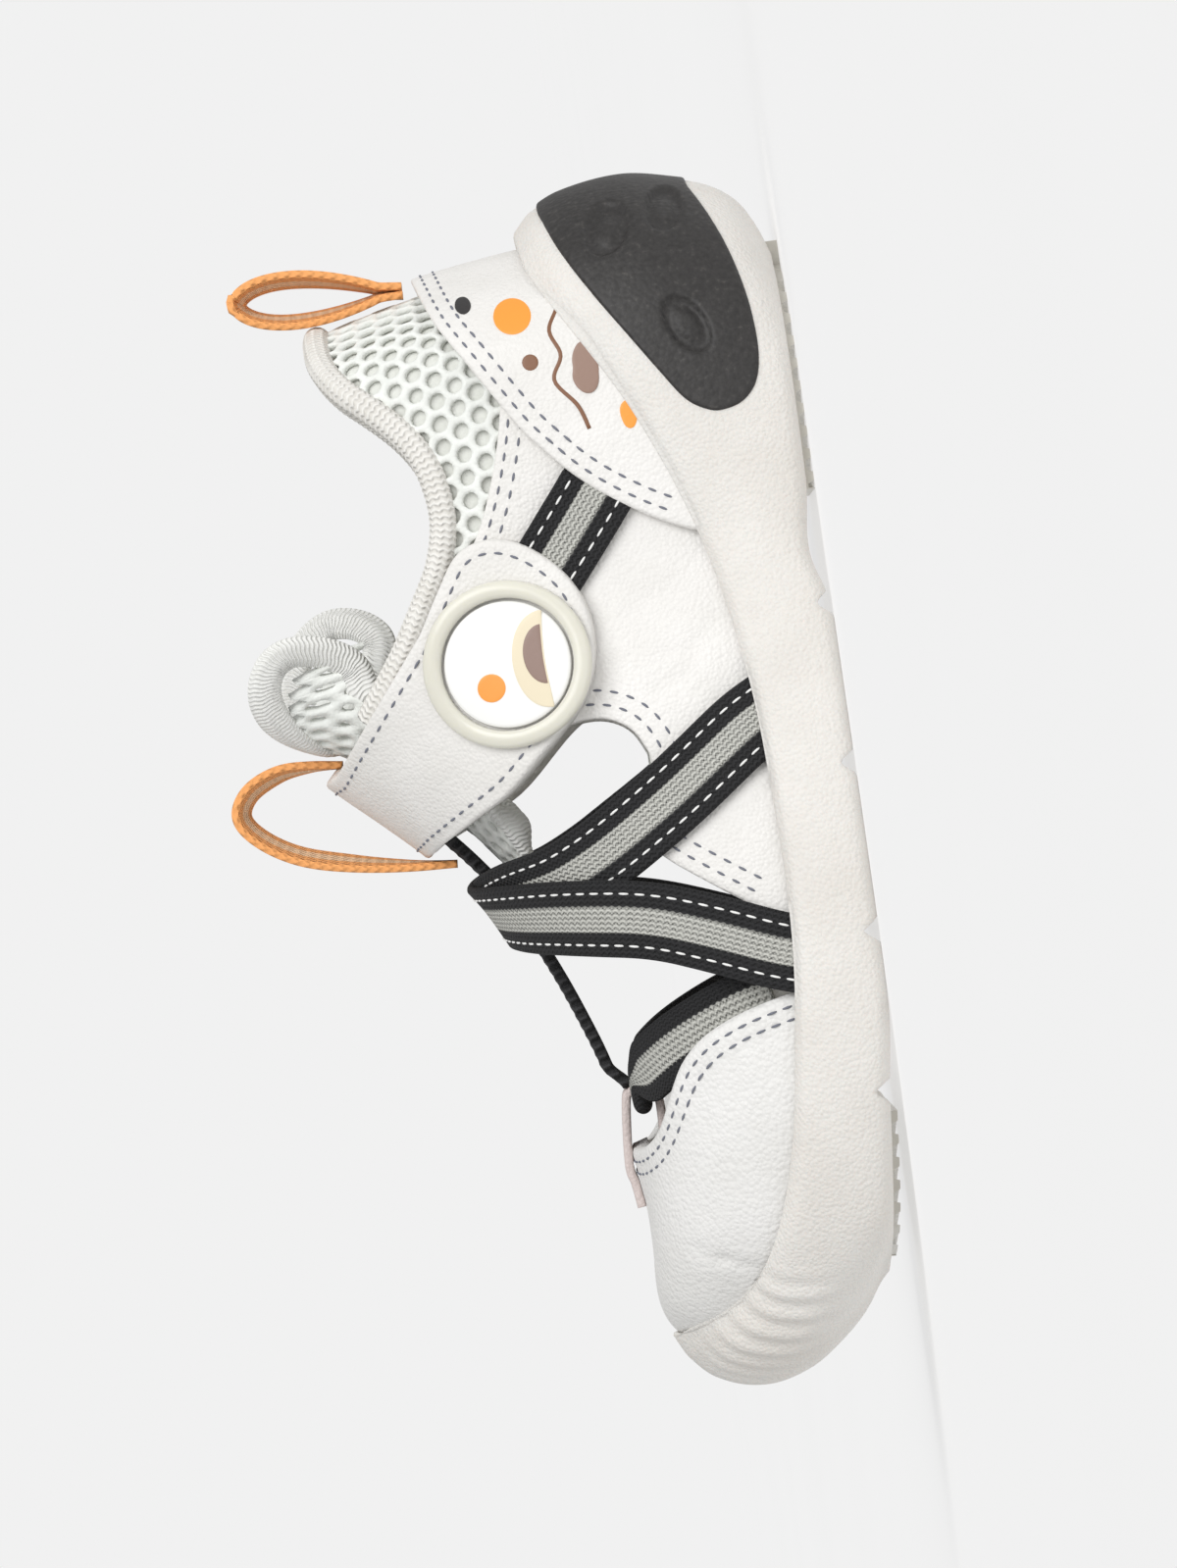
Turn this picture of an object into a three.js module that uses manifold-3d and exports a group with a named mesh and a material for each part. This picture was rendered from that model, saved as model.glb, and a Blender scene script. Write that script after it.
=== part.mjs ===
// Closed-toe baby sandal for the left foot, standing unbent on its sole.
// Millimetres: X runs from heel to toe, +Y is the outer side of the foot, +Z is up.
import * as THREE from 'three';
import { mergeVertices } from 'three/addons/utils/BufferGeometryUtils.js';
import Module from 'manifold-3d';

const wasm = await Module();
wasm.setup();

// Driving sizes of the shoe
const length = 150;
const ballWidth = 67;
const instepHeight = 60;
const toeHeight = 30.2;
const collarHeight = 60;
const cupHeight = 32;
const toeSpring = 5;
const heelBed = 10.5;
const ballBed = 7.2;

// Walls and thicknesses
const leatherWall = 2.2;
const meshStep = 0.6;
const overlayThickness = 1.4;
const strapThickness = 2.4;
const webbingThickness = 1.1;
const elasticThickness = 1.4;
const tongueThickness = 1.6;
const insoleThickness = 2.4;
const insertThickness = 1.5;
const insertProud = 0.3;
const treadThickness = 2.4;
const ribbonThickness = 1;
const tabThickness = 1.1;
const ringHeight = 1.4;
const discHeight = 0.7;

// Widths of bands and trims
const webbingWidth = 9.4;
const frontWebbingWidth = 8;
const elasticWidth = 9;
const ribbonWidth = 5;
const tabWidth = 11;
const rollWidth = 3.4;
const badgeRadius = 10.2;
const ringWidth = 2.2;
const throatWidth = 17;
const coreRadius = 1.2;
const coreReach = 2;
const coreDrop = 0.4;

// How far the upper stands in from the widest line of the sole
const sideRim = 3.3;
const heelRim = 8;
const toeRim = 4.5;

// Fits between neighbours
const gap = 0.3;
const marginRise = 3.2;
const tuck = 3;

// Sole underside
const treadProud = 1;
const archRise = 1.8;
const notchDepth = 2;
const notchWidth = 4.4;
const treadInset = 1.6;

// Sections round the shoe, a row for each, from the back of the heel to the tip of the toe.
// along: share of the length; lateral and medial: share of half the ball width;
// top: sole edge height as share of the heel cup; ridge: where the row meets the centre line,
// as share of the length; round: how square the section is.
const SECTIONS = [
  { along: 0, lateral: 0, medial: 0, top: 1, ridge: 0.227, round: 2.2 },
  { along: 0.015, lateral: 0.284, medial: 0.284, top: 0.99, ridge: 0.23, round: 2.2 },
  { along: 0.053, lateral: 0.522, medial: 0.522, top: 0.96, ridge: 0.24, round: 2.2 },
  { along: 0.113, lateral: 0.672, medial: 0.663, top: 0.85, ridge: 0.257, round: 2.2 },
  { along: 0.2, lateral: 0.746, medial: 0.731, top: 0.637, ridge: 0.287, round: 2.2 },
  { along: 0.307, lateral: 0.782, medial: 0.734, top: 0.453, ridge: 0.347, round: 2.1 },
  { along: 0.413, lateral: 0.872, medial: 0.794, top: 0.356, ridge: 0.427, round: 2 },
  { along: 0.52, lateral: 0.961, medial: 0.901, top: 0.325, ridge: 0.523, round: 2 },
  { along: 0.627, lateral: 1, medial: 0.961, top: 0.325, ridge: 0.627, round: 2.2 },
  { along: 0.727, lateral: 0.985, medial: 0.967, top: 0.366, ridge: 0.717, round: 2.3 },
  { along: 0.813, lateral: 0.901, medial: 0.934, top: 0.406, ridge: 0.78, round: 2.5 },
  { along: 0.887, lateral: 0.755, medial: 0.845, top: 0.475, ridge: 0.82, round: 2.8 },
  { along: 0.94, lateral: 0.552, medial: 0.693, top: 0.58, ridge: 0.84, round: 3.3 },
  { along: 0.98, lateral: 0.284, medial: 0.463, top: 0.766, ridge: 0.851, round: 3.8 },
  { along: 1, lateral: -0.09, medial: 0.09, top: 0.86, ridge: 0.853, round: 4 },
];

// Centre line of the last: rise is 0 at the toe height and 1 at the instep height,
// across is its shift to the outer side as share of the ball width.
const RIDGE = [
  { along: 0.227, rise: 1.67, across: 0 },
  { along: 0.257, rise: 1.69, across: 0 },
  { along: 0.287, rise: 1.73, across: 0 },
  { along: 0.32, rise: 1.77, across: 0 },
  { along: 0.36, rise: 1.65, across: 0.003 },
  { along: 0.4, rise: 1.42, across: 0.006 },
  { along: 0.44, rise: 1.15, across: 0.008 },
  { along: 0.467, rise: 1, across: 0.01 },
  { along: 0.493, rise: 0.856, across: 0.011 },
  { along: 0.52, rise: 0.715, across: 0.012 },
  { along: 0.547, rise: 0.597, across: 0.011 },
  { along: 0.573, rise: 0.503, across: 0.01 },
  { along: 0.6, rise: 0.43, across: 0.008 },
  { along: 0.64, rise: 0.336, across: 0.004 },
  { along: 0.68, rise: 0.255, across: 0 },
  { along: 0.72, rise: 0.181, across: -0.006 },
  { along: 0.767, rise: 0.114, across: -0.014 },
  { along: 0.813, rise: 0.047, across: -0.022 },
  { along: 0.853, rise: 0, across: -0.03 },
];

// Side of the sole from its bottom edge to its top edge: how far it stands in, in millimetres
// at each share of the edge height, on the flank, round the heel and round the toe.
const SIDE = [
  { share: 0, flank: 3, heel: 12, toe: 11.5 },
  { share: 0.04, flank: 1.7, heel: 8.5, toe: 10.2 },
  { share: 0.1, flank: 0.9, heel: 5.2, toe: 7.2 },
  { share: 0.2, flank: 0.4, heel: 2.8, toe: 4.2 },
  { share: 0.34, flank: 0.1, heel: 1.3, toe: 1.6 },
  { share: 0.55, flank: 0, heel: 0.1, toe: 0.2 },
  { share: 0.8, flank: 0.3, heel: 1.1, toe: 1.7 },
  { share: 0.93, flank: 0.8, heel: 3, toe: 4.4 },
  { share: 1, flank: 1.9, heel: 5.2, toe: 7 },
];

// Height of the sole's underside above the plane that it stands on, as share of the arch rise
const UNDERSIDE = [
  { along: 0, up: treadProud / archRise },
  { along: 0.27, up: treadProud / archRise },
  { along: 0.33, up: 1 },
  { along: 0.38, up: 0 },
  { along: 0.7, up: 0 },
  { along: 0.78, up: 0.45 },
  { along: 1, up: 0.45 },
];

// Outlines seen from the side. along: share of the length; up: share of the height named beside.
// A row with corner ends one smooth stretch and starts the next.
const TOPLINE = [
  { along: -0.1, up: 0.925, corner: true },
  { along: 0.092, up: 0.925, corner: true },
  { along: 0.107, up: 0.933 },
  { along: 0.127, up: 0.925 },
  { along: 0.147, up: 0.892 },
  { along: 0.165, up: 0.842 },
  { along: 0.187, up: 0.787 },
  { along: 0.213, up: 0.745 },
  { along: 0.24, up: 0.727 },
  { along: 0.267, up: 0.724 },
  { along: 0.3, up: 0.745 },
  { along: 0.333, up: 0.79 },
  { along: 0.367, up: 0.84 },
  { along: 0.4, up: 0.9 },
  { along: 0.44, up: 0.975 },
  { along: 0.473, up: 1.04, corner: true },
];
const QUARTER_FRONT = [
  { along: 0.479, up: 0.9, corner: true },
  { along: 0.475, up: 0.76 },
  { along: 0.46, up: 0.65 },
  { along: 0.443, up: 0.575 },
  { along: 0.44, up: 0.5 },
  { along: 0.452, up: 0.44 },
  { along: 0.475, up: 0.408, corner: true },
  { along: 0.505, up: 0.407, corner: true },
  { along: 0.525, up: 0.442 },
  { along: 0.543, up: 0.44 },
  { along: 0.56, up: 0.405 },
  { along: 0.583, up: 0.33 },
  { along: 0.61, up: 0.235, corner: true },
  { along: 0.635, up: 0.1, corner: true },
  { along: 0.635, up: -0.3, corner: true },
  { along: -0.1, up: -0.3, corner: true },
];
const MESH_SEAM = [
  { along: -0.1, up: 0.64, corner: true },
  { along: 0.13, up: 0.6, corner: true },
  { along: 0.18, up: 0.613 },
  { along: 0.22, up: 0.637 },
  { along: 0.26, up: 0.672 },
  { along: 0.29, up: 0.712 },
  { along: 0.313, up: 0.775, corner: true },
  { along: 0.313, up: 1.6, corner: true },
  { along: -0.1, up: 1.6, corner: true },
];
const OVERLAY = [
  { along: -0.1, up: 0.765, corner: true },
  { along: 0.06, up: 0.76, corner: true },
  { along: 0.1, up: 0.725 },
  { along: 0.133, up: 0.678 },
  { along: 0.167, up: 0.627 },
  { along: 0.2, up: 0.575 },
  { along: 0.22, up: 0.533 },
  { along: 0.24, up: 0.488 },
  { along: 0.26, up: 0.43 },
  { along: 0.28, up: 0.355 },
  { along: 0.293, up: 0.293 },
  { along: 0.305, up: 0.22, corner: true },
  { along: 0.307, up: 0.19, corner: true },
  { along: 0.2, up: 0.285, corner: true },
  { along: 0.1, up: 0.42, corner: true },
  { along: -0.1, up: 0.48, corner: true },
];
const STRAP = [
  { along: 0.592, up: 1.06, corner: true },
  { along: 0.527, up: 0.86, corner: true },
  { along: 0.507, up: 0.775 },
  { along: 0.489, up: 0.7 },
  { along: 0.465, up: 0.633 },
  { along: 0.443, up: 0.575 },
  { along: 0.42, up: 0.525 },
  { along: 0.39, up: 0.495 },
  { along: 0.355, up: 0.492 },
  { along: 0.322, up: 0.525 },
  { along: 0.295, up: 0.595 },
  { along: 0.284, up: 0.67 },
  { along: 0.292, up: 0.74 },
  { along: 0.32, up: 0.79 },
  { along: 0.353, up: 0.838, corner: true },
  { along: 0.463, up: 1.06, corner: true },
  { along: 0.52, up: 1.22, corner: true },
];
const STRAP_INNER = [
  { along: 0.592, up: 1.06, corner: true },
  { along: 0.527, up: 0.86, corner: true },
  { along: 0.493, up: 0.7 },
  { along: 0.443, up: 0.56 },
  { along: 0.42, up: 0.44, corner: true },
  { along: 0.3, up: 0.47, corner: true },
  { along: 0.31, up: 0.64 },
  { along: 0.353, up: 0.838, corner: true },
  { along: 0.463, up: 1.06, corner: true },
  { along: 0.52, up: 1.22, corner: true },
];
// Heights of the toe leather are shares of the toe height
const VAMP = [
  { along: 0.673, up: 0, corner: true },
  { along: 0.68, up: 0.36, corner: true },
  { along: 0.692, up: 0.6 },
  { along: 0.71, up: 0.78 },
  { along: 0.735, up: 0.885 },
  { along: 0.765, up: 0.935 },
  { along: 0.785, up: 0.985, corner: true },
  { along: 0.793, up: 1.04, corner: true },
  { along: 0.793, up: 1.6, corner: true },
  { along: 1.1, up: 1.6, corner: true },
  { along: 1.1, up: 0, corner: true },
];
// Heights of the dark heel piece are shares of the heel cup
const INSERT = [
  { along: -0.06, up: 0.91, corner: true },
  { along: 0.023, up: 0.9, corner: true },
  { along: 0.053, up: 0.85 },
  { along: 0.08, up: 0.787 },
  { along: 0.107, up: 0.712 },
  { along: 0.133, up: 0.634 },
  { along: 0.167, up: 0.531 },
  { along: 0.193, up: 0.447 },
  { along: 0.204, up: 0.375 },
  { along: 0.207, up: 0.312 },
  { along: 0.202, up: 0.228 },
  { along: 0.187, up: 0.166 },
  { along: 0.16, up: 0.141 },
  { along: 0.12, up: 0.153 },
  { along: 0.08, up: 0.194 },
  { along: 0.047, up: 0.25 },
  { along: 0.017, up: 0.319, corner: true },
  { along: -0.06, up: 0.36, corner: true },
];

// Middle lines of the bands seen from the side, as shares of length and instep height
const QUARTER_BAND = [
  { along: 0.21, up: 0.37 },
  { along: 0.26, up: 0.444 },
  { along: 0.313, up: 0.55 },
  { along: 0.35, up: 0.63 },
];
const REAR_LEG = [
  { along: 0.44, up: 0.09 },
  { along: 0.457, up: 0.18 },
  { along: 0.513, up: 0.375 },
  { along: 0.549, up: 0.517 },
  { along: 0.579, up: 0.717 },
  { along: 0.585, up: 0.9 },
];
const FRONT_LEG = [
  { along: 0.664, up: 0.08 },
  { along: 0.65, up: 0.18 },
  { along: 0.607, up: 0.45 },
  { along: 0.588, up: 0.717 },
  { along: 0.585, up: 0.9 },
];
const TUCKED_BAND = [
  { along: 0.681, up: 0.24 },
  { along: 0.69, up: 0.333 },
  { along: 0.717, up: 0.483 },
  { along: 0.757, up: 0.62 },
];

// Rows of the tongue from its front end to its top edge. centre: place on the centre line;
// edge and inner: place of the outer and inner side edge; half: half its width as share of the
// ball width; a row with up, edgeUp and innerUp stands free, as shares of the instep height;
// lobe: rise of the two rounded ears.
const TONGUE = [
  { centre: 0.6, edge: 0.595, inner: 0.595, half: 0.12 },
  { centre: 0.56, edge: 0.553, inner: 0.553, half: 0.155 },
  { centre: 0.52, edge: 0.505, inner: 0.505, half: 0.18 },
  { centre: 0.485, edge: 0.455, inner: 0.45, half: 0.19 },
  { centre: 0.462, edge: 0.41, inner: 0.4, half: 0.18 },
  { centre: 0.437, edge: 0.365, inner: 0.35, half: 0.17, up: 1.02, edgeUp: 0.96, innerUp: 0.9, lobe: 0.06 },
  { centre: 0.428, edge: 0.33, inner: 0.305, half: 0.225, up: 1.07, edgeUp: 1.03, innerUp: 0.93, lobe: 0.14 },
];

// Ribbon loops seen from the side
const TONGUE_LOOP = [
  { along: 0.448, up: 1.033 },
  { along: 0.446, up: 1.1 },
  { along: 0.4485, up: 1.167 },
  { along: 0.461, up: 1.23 },
  { along: 0.48, up: 1.253 },
  { along: 0.5, up: 1.217 },
  { along: 0.518, up: 1.142 },
  { along: 0.53, up: 1.033 },
  { along: 0.538, up: 0.92 },
  { along: 0.5415, up: 0.828 },
];
const heelLoopHeight = 21.5;
const heelLoopWidth = 6.2;
const heelLoopLean = -0.05;

const stationsPerRow = 2;
const climbSteps = 8;
const lastRow = SECTIONS.length - 1;
const halfBall = ballWidth / 2;

// Curve through four neighbouring values, at share f between the middle two
function throughFour(a, b, c, d, f) {
  const bend = 2 * a - 5 * b + 4 * c - d;
  const twist = 3 * b - a - 3 * c + d;
  return 0.5 * (2 * b + (c - a) * f + bend * f * f + twist * f ** 3);
}

// Value of one column in a table whose rows are keyed by their place along the shoe
function tableValue(rows, place, column, key = 'along') {
  const last = rows.length - 1;
  const clamped = THREE.MathUtils.clamp(place, rows[0][key], rows[last][key]);
  let index = rows.findIndex((row) => row[key] >= clamped);
  index = Math.max(index, 1);
  const before = rows[index - 1];
  const after = rows[index];
  const span = after[key] - before[key];
  const f = (clamped - before[key]) / span;
  const slope = (i) => {
    const low = rows[Math.max(i - 1, 0)];
    const high = rows[Math.min(i + 1, last)];
    return (high[column] - low[column]) / (high[key] - low[key]) * span;
  };
  const start = before[column];
  const end = after[column];
  const cubic = (2 * start - 2 * end + slope(index - 1) + slope(index)) * f ** 3;
  const square = (3 * end - 3 * start - 2 * slope(index - 1) - slope(index)) * f * f;
  return cubic + square + slope(index - 1) * f + start;
}

// Value of a section column at a place counted in rows; past heel or toe it comes back on the other side
function sectionValue(place, column) {
  const row = (index) => {
    let inside = Math.abs(index);
    if (inside > lastRow) inside = 2 * lastRow - inside;
    const section = SECTIONS[inside];
    if (inside === index) return section[column];
    if (column === 'lateral') return -section.medial;
    if (column === 'medial') return -section.lateral;
    return section[column];
  };
  const start = Math.floor(place);
  return throughFour(row(start - 1), row(start), row(start + 1), row(start + 2), place - start);
}

// Rise of the toe end off the floor
function springAt(x) {
  const start = 0.65 * length;
  return x > start ? toeSpring * ((x - start) / (length - start)) ** 2 : 0;
}

function bedHeight(x) {
  const share = THREE.MathUtils.smoothstep(x, 0.2 * length, 0.6 * length);
  return heelBed + (ballBed - heelBed) * share;
}

function undersideHeight(x) {
  return archRise * Math.max(tableValue(UNDERSIDE, x / length, 'up'), 0);
}

function rimWidth(x) {
  const heelShare = 1 - THREE.MathUtils.smoothstep(x, 0, 0.14 * length);
  const toeShare = THREE.MathUtils.smoothstep(x, 0.86 * length, length);
  return sideRim + (heelRim - sideRim) * heelShare + (toeRim - sideRim) * toeShare;
}

// Point of the sole's widest line seen from above, moved inward by inset
function planPoint(place, side, inset) {
  const column = side > 0 ? 'lateral' : 'medial';
  const at = (where) => ({
    x: length * sectionValue(where, 'along'),
    y: side * halfBall * sectionValue(where, column),
  });
  const step = 0.01;
  const before = at(place - step);
  const after = at(place + step);
  const run = Math.hypot(after.x - before.x, after.y - before.y);
  const middle = at(place);
  return {
    x: middle.x + inset * side * (after.y - before.y) / run,
    y: middle.y - inset * side * (after.x - before.x) / run,
  };
}

// Point of the last's centre line, moved out from the last by layer
function ridgePoint(x, layer) {
  const height = (where) => {
    const rise = tableValue(RIDGE, where / length, 'rise');
    return toeHeight + (instepHeight - toeHeight) * rise;
  };
  const slope = (height(x + 0.5) - height(x - 0.5));
  const steep = Math.hypot(1, slope);
  return {
    x: x - layer * slope / steep,
    y: ballWidth * tableValue(RIDGE, x / length, 'across'),
    z: height(x) + layer / steep,
  };
}

// Point of the last's skin: place counts rows from heel to toe, climb goes from the sole (0)
// to the centre line (1), and layer is the distance outside the leather's outer face
function formPoint(place, side, climb, layer, lift = 0) {
  const rim = rimWidth(length * sectionValue(place, 'along'));
  const base = planPoint(place, side, rim - layer);
  const ridge = ridgePoint(length * sectionValue(place, 'ridge'), layer);
  const power = 2 / sectionValue(place, 'round');
  const angle = climb * Math.PI / 2;
  const inward = climb === 1 ? 1 : 1 - Math.cos(angle) ** power;
  const upward = Math.sin(angle) ** power;
  const bottom = bedHeight(base.x) + lift;
  const x = base.x + (ridge.x - base.x) * inward;
  const y = base.y + (ridge.y - base.y) * inward;
  return new THREE.Vector3(x, y, bottom + (ridge.z - bottom) * upward + springAt(x));
}

// One loop round the shoe: outer side from heel to toe, then back along the inner side
function loopOf(pointAt) {
  const count = lastRow * stationsPerRow;
  const loop = [];
  for (let i = 0; i <= count; i += 1) loop.push(pointAt(i / stationsPerRow, 1));
  for (let i = count - 1; i > 0; i -= 1) loop.push(pointAt(i / stationsPerRow, -1));
  return loop;
}

function geometryFrom(points, faces) {
  const geometry = new THREE.BufferGeometry();
  const flat = points.flatMap((point) => [point.x, point.y, point.z]);
  geometry.setAttribute('position', new THREE.Float32BufferAttribute(flat, 3));
  geometry.setIndex(faces);
  return geometry;
}

// Solid from a closed geometry with its shared corners merged
function solidOf(geometry) {
  const bare = geometry.clone();
  bare.deleteAttribute('normal');
  bare.deleteAttribute('uv');
  const merged = mergeVertices(bare, 1e-4);
  const faces = [];
  for (let i = 0; i < merged.index.count; i += 3) {
    const corners = [0, 1, 2].map((k) => merged.index.getX(i + k));
    if (new Set(corners).size === 3) faces.push(...corners);
  }
  return new wasm.Manifold(new wasm.Mesh({
    numProp: 3,
    vertProperties: new Float32Array(merged.attributes.position.array),
    triVerts: new Uint32Array(faces),
  }));
}

// Closed solid through loops stacked from low to high, with both ends bridged across the shoe
function stackedSolid(loops) {
  const around = loops[0].length;
  const top = (loops.length - 1) * around;
  const faces = [];
  for (let level = 0; level < loops.length - 1; level += 1) {
    for (let i = 0; i < around; i += 1) {
      const next = (i + 1) % around;
      const low = level * around;
      const high = low + around;
      faces.push(low + i, high + i, high + next, low + i, high + next, low + next);
    }
  }
  for (let i = 0; i < around / 2; i += 1) {
    const here = (around - i) % around;
    const there = around - i - 1;
    faces.push(i, i + 1, there, i, there, here);
    faces.push(top + i, top + there, top + i + 1, top + i, top + here, top + there);
  }
  return solidOf(geometryFrom(loops.flat(), faces));
}

// The last grown by layer; a skirt carries its walls further down
function lastForm(layer, lift, skirt = 0) {
  const loops = [];
  if (skirt > 0) {
    loops.push(loopOf((place, side) => {
      const point = formPoint(place, side, 0, layer, lift);
      return point.setZ(point.z - skirt);
    }));
  }
  for (let step = 0; step <= climbSteps; step += 1) {
    loops.push(loopOf((place, side) => formPoint(place, side, step / climbSteps, layer, lift)));
  }
  return stackedSolid(loops);
}

// A sheet that follows the last between two layers
function shellBetween(inner, outer) {
  return lastForm(outer, gap).subtract(lastForm(inner, gap, heelBed));
}

// Outer form of the sole, grown sideways by grow
function soleForm(grow) {
  const loops = SIDE.map((row) => loopOf((place, side) => {
    const outlineX = length * sectionValue(place, 'along');
    const heelShare = 1 - THREE.MathUtils.smoothstep(outlineX, 0.01 * length, 0.19 * length);
    const toeShare = THREE.MathUtils.smoothstep(outlineX, 0.87 * length, length);
    const inset = row.flank + (row.heel - row.flank) * heelShare + (row.toe - row.flank) * toeShare;
    const point = planPoint(place, side, inset - grow);
    const low = undersideHeight(point.x);
    const top = cupHeight * sectionValue(place, 'top');
    const z = low + (top - low) * row.share;
    return new THREE.Vector3(point.x, point.y, z + springAt(point.x));
  }));
  return stackedSolid(loops);
}

// Corners of a closed outline whose stretches between corner rows are smooth curves
function outlinePoints(rows, height, sprung = false) {
  const points = rows.map((row) => {
    const x = row.along * length;
    return new THREE.Vector2(x, row.up * height + (sprung ? springAt(x) : 0));
  });
  const corners = rows.map((row, index) => (row.corner ? index : -1)).filter((index) => index >= 0);
  const outline = [];
  corners.forEach((start, order) => {
    const end = order + 1 < corners.length ? corners[order + 1] : points.length;
    const stretch = points.slice(start, end);
    stretch.push(points[end % points.length]);
    if (stretch.length === 2) {
      outline.push(stretch[0]);
      return;
    }
    const curve = new THREE.SplineCurve(stretch);
    outline.push(...curve.getSpacedPoints(stretch.length - 1).slice(0, -1));
  });
  return outline;
}

// The same outline moved outward by distance
function grownOutline(points, distance) {
  const turn = Math.sign(THREE.ShapeUtils.area(points));
  return points.map((point, index) => {
    const before = points[(index + points.length - 1) % points.length];
    const after = points[(index + 1) % points.length];
    const into = point.clone().sub(before).normalize();
    const outOf = after.clone().sub(point).normalize();
    const along = into.add(outOf).normalize();
    return new THREE.Vector2(point.x + turn * along.y * distance, point.y - turn * along.x * distance);
  });
}

// Outline of a band of one width along a middle line
function bandOutline(centres, width) {
  const curve = new THREE.SplineCurve(centres);
  const steps = (centres.length - 1) * 2;
  const left = [];
  const right = [];
  for (let i = 0; i <= steps; i += 1) {
    const point = curve.getPointAt(i / steps);
    const along = curve.getTangentAt(i / steps);
    left.push(new THREE.Vector2(point.x - along.y * width / 2, point.y + along.x * width / 2));
    right.push(new THREE.Vector2(point.x + along.y * width / 2, point.y - along.x * width / 2));
  }
  return [...right, ...left.reverse()];
}

function sharedPoints(rows, height) {
  return rows.map((row) => new THREE.Vector2(row.along * length, row.up * height));
}

// Block whose outline is seen from the side, from y low to y high
function sideBlock(points, low = -ballWidth, high = ballWidth) {
  const geometry = new THREE.ExtrudeGeometry(new THREE.Shape(points), {
    depth: high - low,
    bevelEnabled: false,
  });
  geometry.rotateX(Math.PI / 2);
  geometry.translate(0, high, 0);
  return solidOf(geometry);
}

// Block whose outline is seen from above
function planBlock(points, low, high) {
  const geometry = new THREE.ExtrudeGeometry(new THREE.Shape(points), {
    depth: high - low,
    bevelEnabled: false,
  });
  geometry.translate(0, 0, low);
  return solidOf(geometry);
}

function rectangle(x0, x1, y0, y1) {
  return [[x0, y0], [x1, y0], [x1, y1], [x0, y1]].map(([x, y]) => new THREE.Vector2(x, y));
}

function circle(centre, radius, sides) {
  return new THREE.Shape().absarc(centre.x, centre.y, radius, 0, 2 * Math.PI).getPoints(sides).slice(0, -1);
}

// Block between the sole's plane and a line that runs at rise above the footbed
function bedBlock(rise) {
  const line = [];
  const steps = 14;
  for (let i = 0; i <= steps; i += 1) {
    const x = length * i / steps;
    line.push(new THREE.Vector2(x, bedHeight(x) + springAt(x) + rise));
  }
  const below = [new THREE.Vector2(0, -cupHeight), new THREE.Vector2(length, -cupHeight)];
  return sideBlock([...below, ...line.reverse()]);
}

const clearHeight = 2 * instepHeight;

// Upper: leather quarters and vamp, thinner mesh at the collar, one margin all round under the insole
function makeUpper() {
  const top = outlinePoints([...TOPLINE, ...QUARTER_FRONT], collarHeight);
  const quarter = sideBlock(top);
  const vamp = sideBlock(outlinePoints(VAMP, toeHeight, true));
  const margin = bedBlock(marginRise);
  const meshPart = sideBlock(outlinePoints(MESH_SEAM, collarHeight));
  const throat = planBlock(
    rectangle(0.3 * length, 0.56 * length, -throatWidth / 2, throatWidth / 2),
    0,
    clearHeight,
  );
  const wall = shellBetween(-leatherWall, 0).intersect(quarter.add(vamp).add(margin));
  const step = shellBetween(-meshStep, meshStep).intersect(meshPart);
  return wall.subtract(step).subtract(throat);
}

function overlayOutline(grow) {
  const outline = outlinePoints(OVERLAY, collarHeight);
  return grow ? grownOutline(outline, grow) : outline;
}

function strapBlocks(grow) {
  const sides = [
    { rows: STRAP, low: 0, high: ballWidth },
    { rows: STRAP_INNER, low: -ballWidth, high: 0 },
  ];
  const blocks = sides.map(({ rows, low, high }) => {
    const outline = outlinePoints(rows, instepHeight);
    return sideBlock(grow ? grownOutline(outline, grow) : outline, low, high);
  });
  return blocks[0].add(blocks[1]);
}

// The two crossing bands: both legs of a side meet on the centre line, so they form an X
function crossBlock(grow) {
  const width = webbingWidth + 2 * grow;
  const rear = sideBlock(bandOutline(sharedPoints(REAR_LEG, instepHeight), width));
  const front = sideBlock(bandOutline(sharedPoints(FRONT_LEG, instepHeight), width));
  return rear.add(front);
}

// Everything above a line a little below the sole's top edge, so that bands end inside the cup
function aboveTuck(depth) {
  const line = [];
  for (let place = 0; place <= lastRow; place += 1) {
    const x = length * sectionValue(place, 'along');
    line.push(new THREE.Vector2(x, cupHeight * sectionValue(place, 'top') - depth));
  }
  line[0].x = -length;
  const above = [new THREE.Vector2(2 * length, clearHeight), new THREE.Vector2(-length, clearHeight)];
  return sideBlock([...line, ...above]);
}

function makeOverlay() {
  return shellBetween(gap, gap + overlayThickness).intersect(sideBlock(overlayOutline(0)));
}

function makeStrap(roll) {
  return shellBetween(gap, gap + strapThickness).intersect(strapBlocks(0)).subtract(roll);
}

function makeCrossWebbing() {
  const band = shellBetween(gap, gap + webbingThickness).intersect(crossBlock(0));
  return band.intersect(aboveTuck(tuck)).subtract(strapBlocks(gap));
}

function makeQuarterWebbing(side) {
  const path = sharedPoints(QUARTER_BAND, instepHeight);
  const low = side > 0 ? 0 : -ballWidth;
  const block = sideBlock(bandOutline(path, webbingWidth), low, low + ballWidth);
  const band = shellBetween(gap, gap + webbingThickness).intersect(block);
  return band.subtract(strapBlocks(gap)).subtract(sideBlock(overlayOutline(gap)));
}

// Middle of the tab's eye, on the centre line
function tabEye() {
  const x = 0.757 * length;
  const under = ridgePoint(x, -leatherWall - gap - webbingThickness / 2);
  return new THREE.Vector3(x, under.y, under.z + springAt(x) - coreDrop);
}

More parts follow.
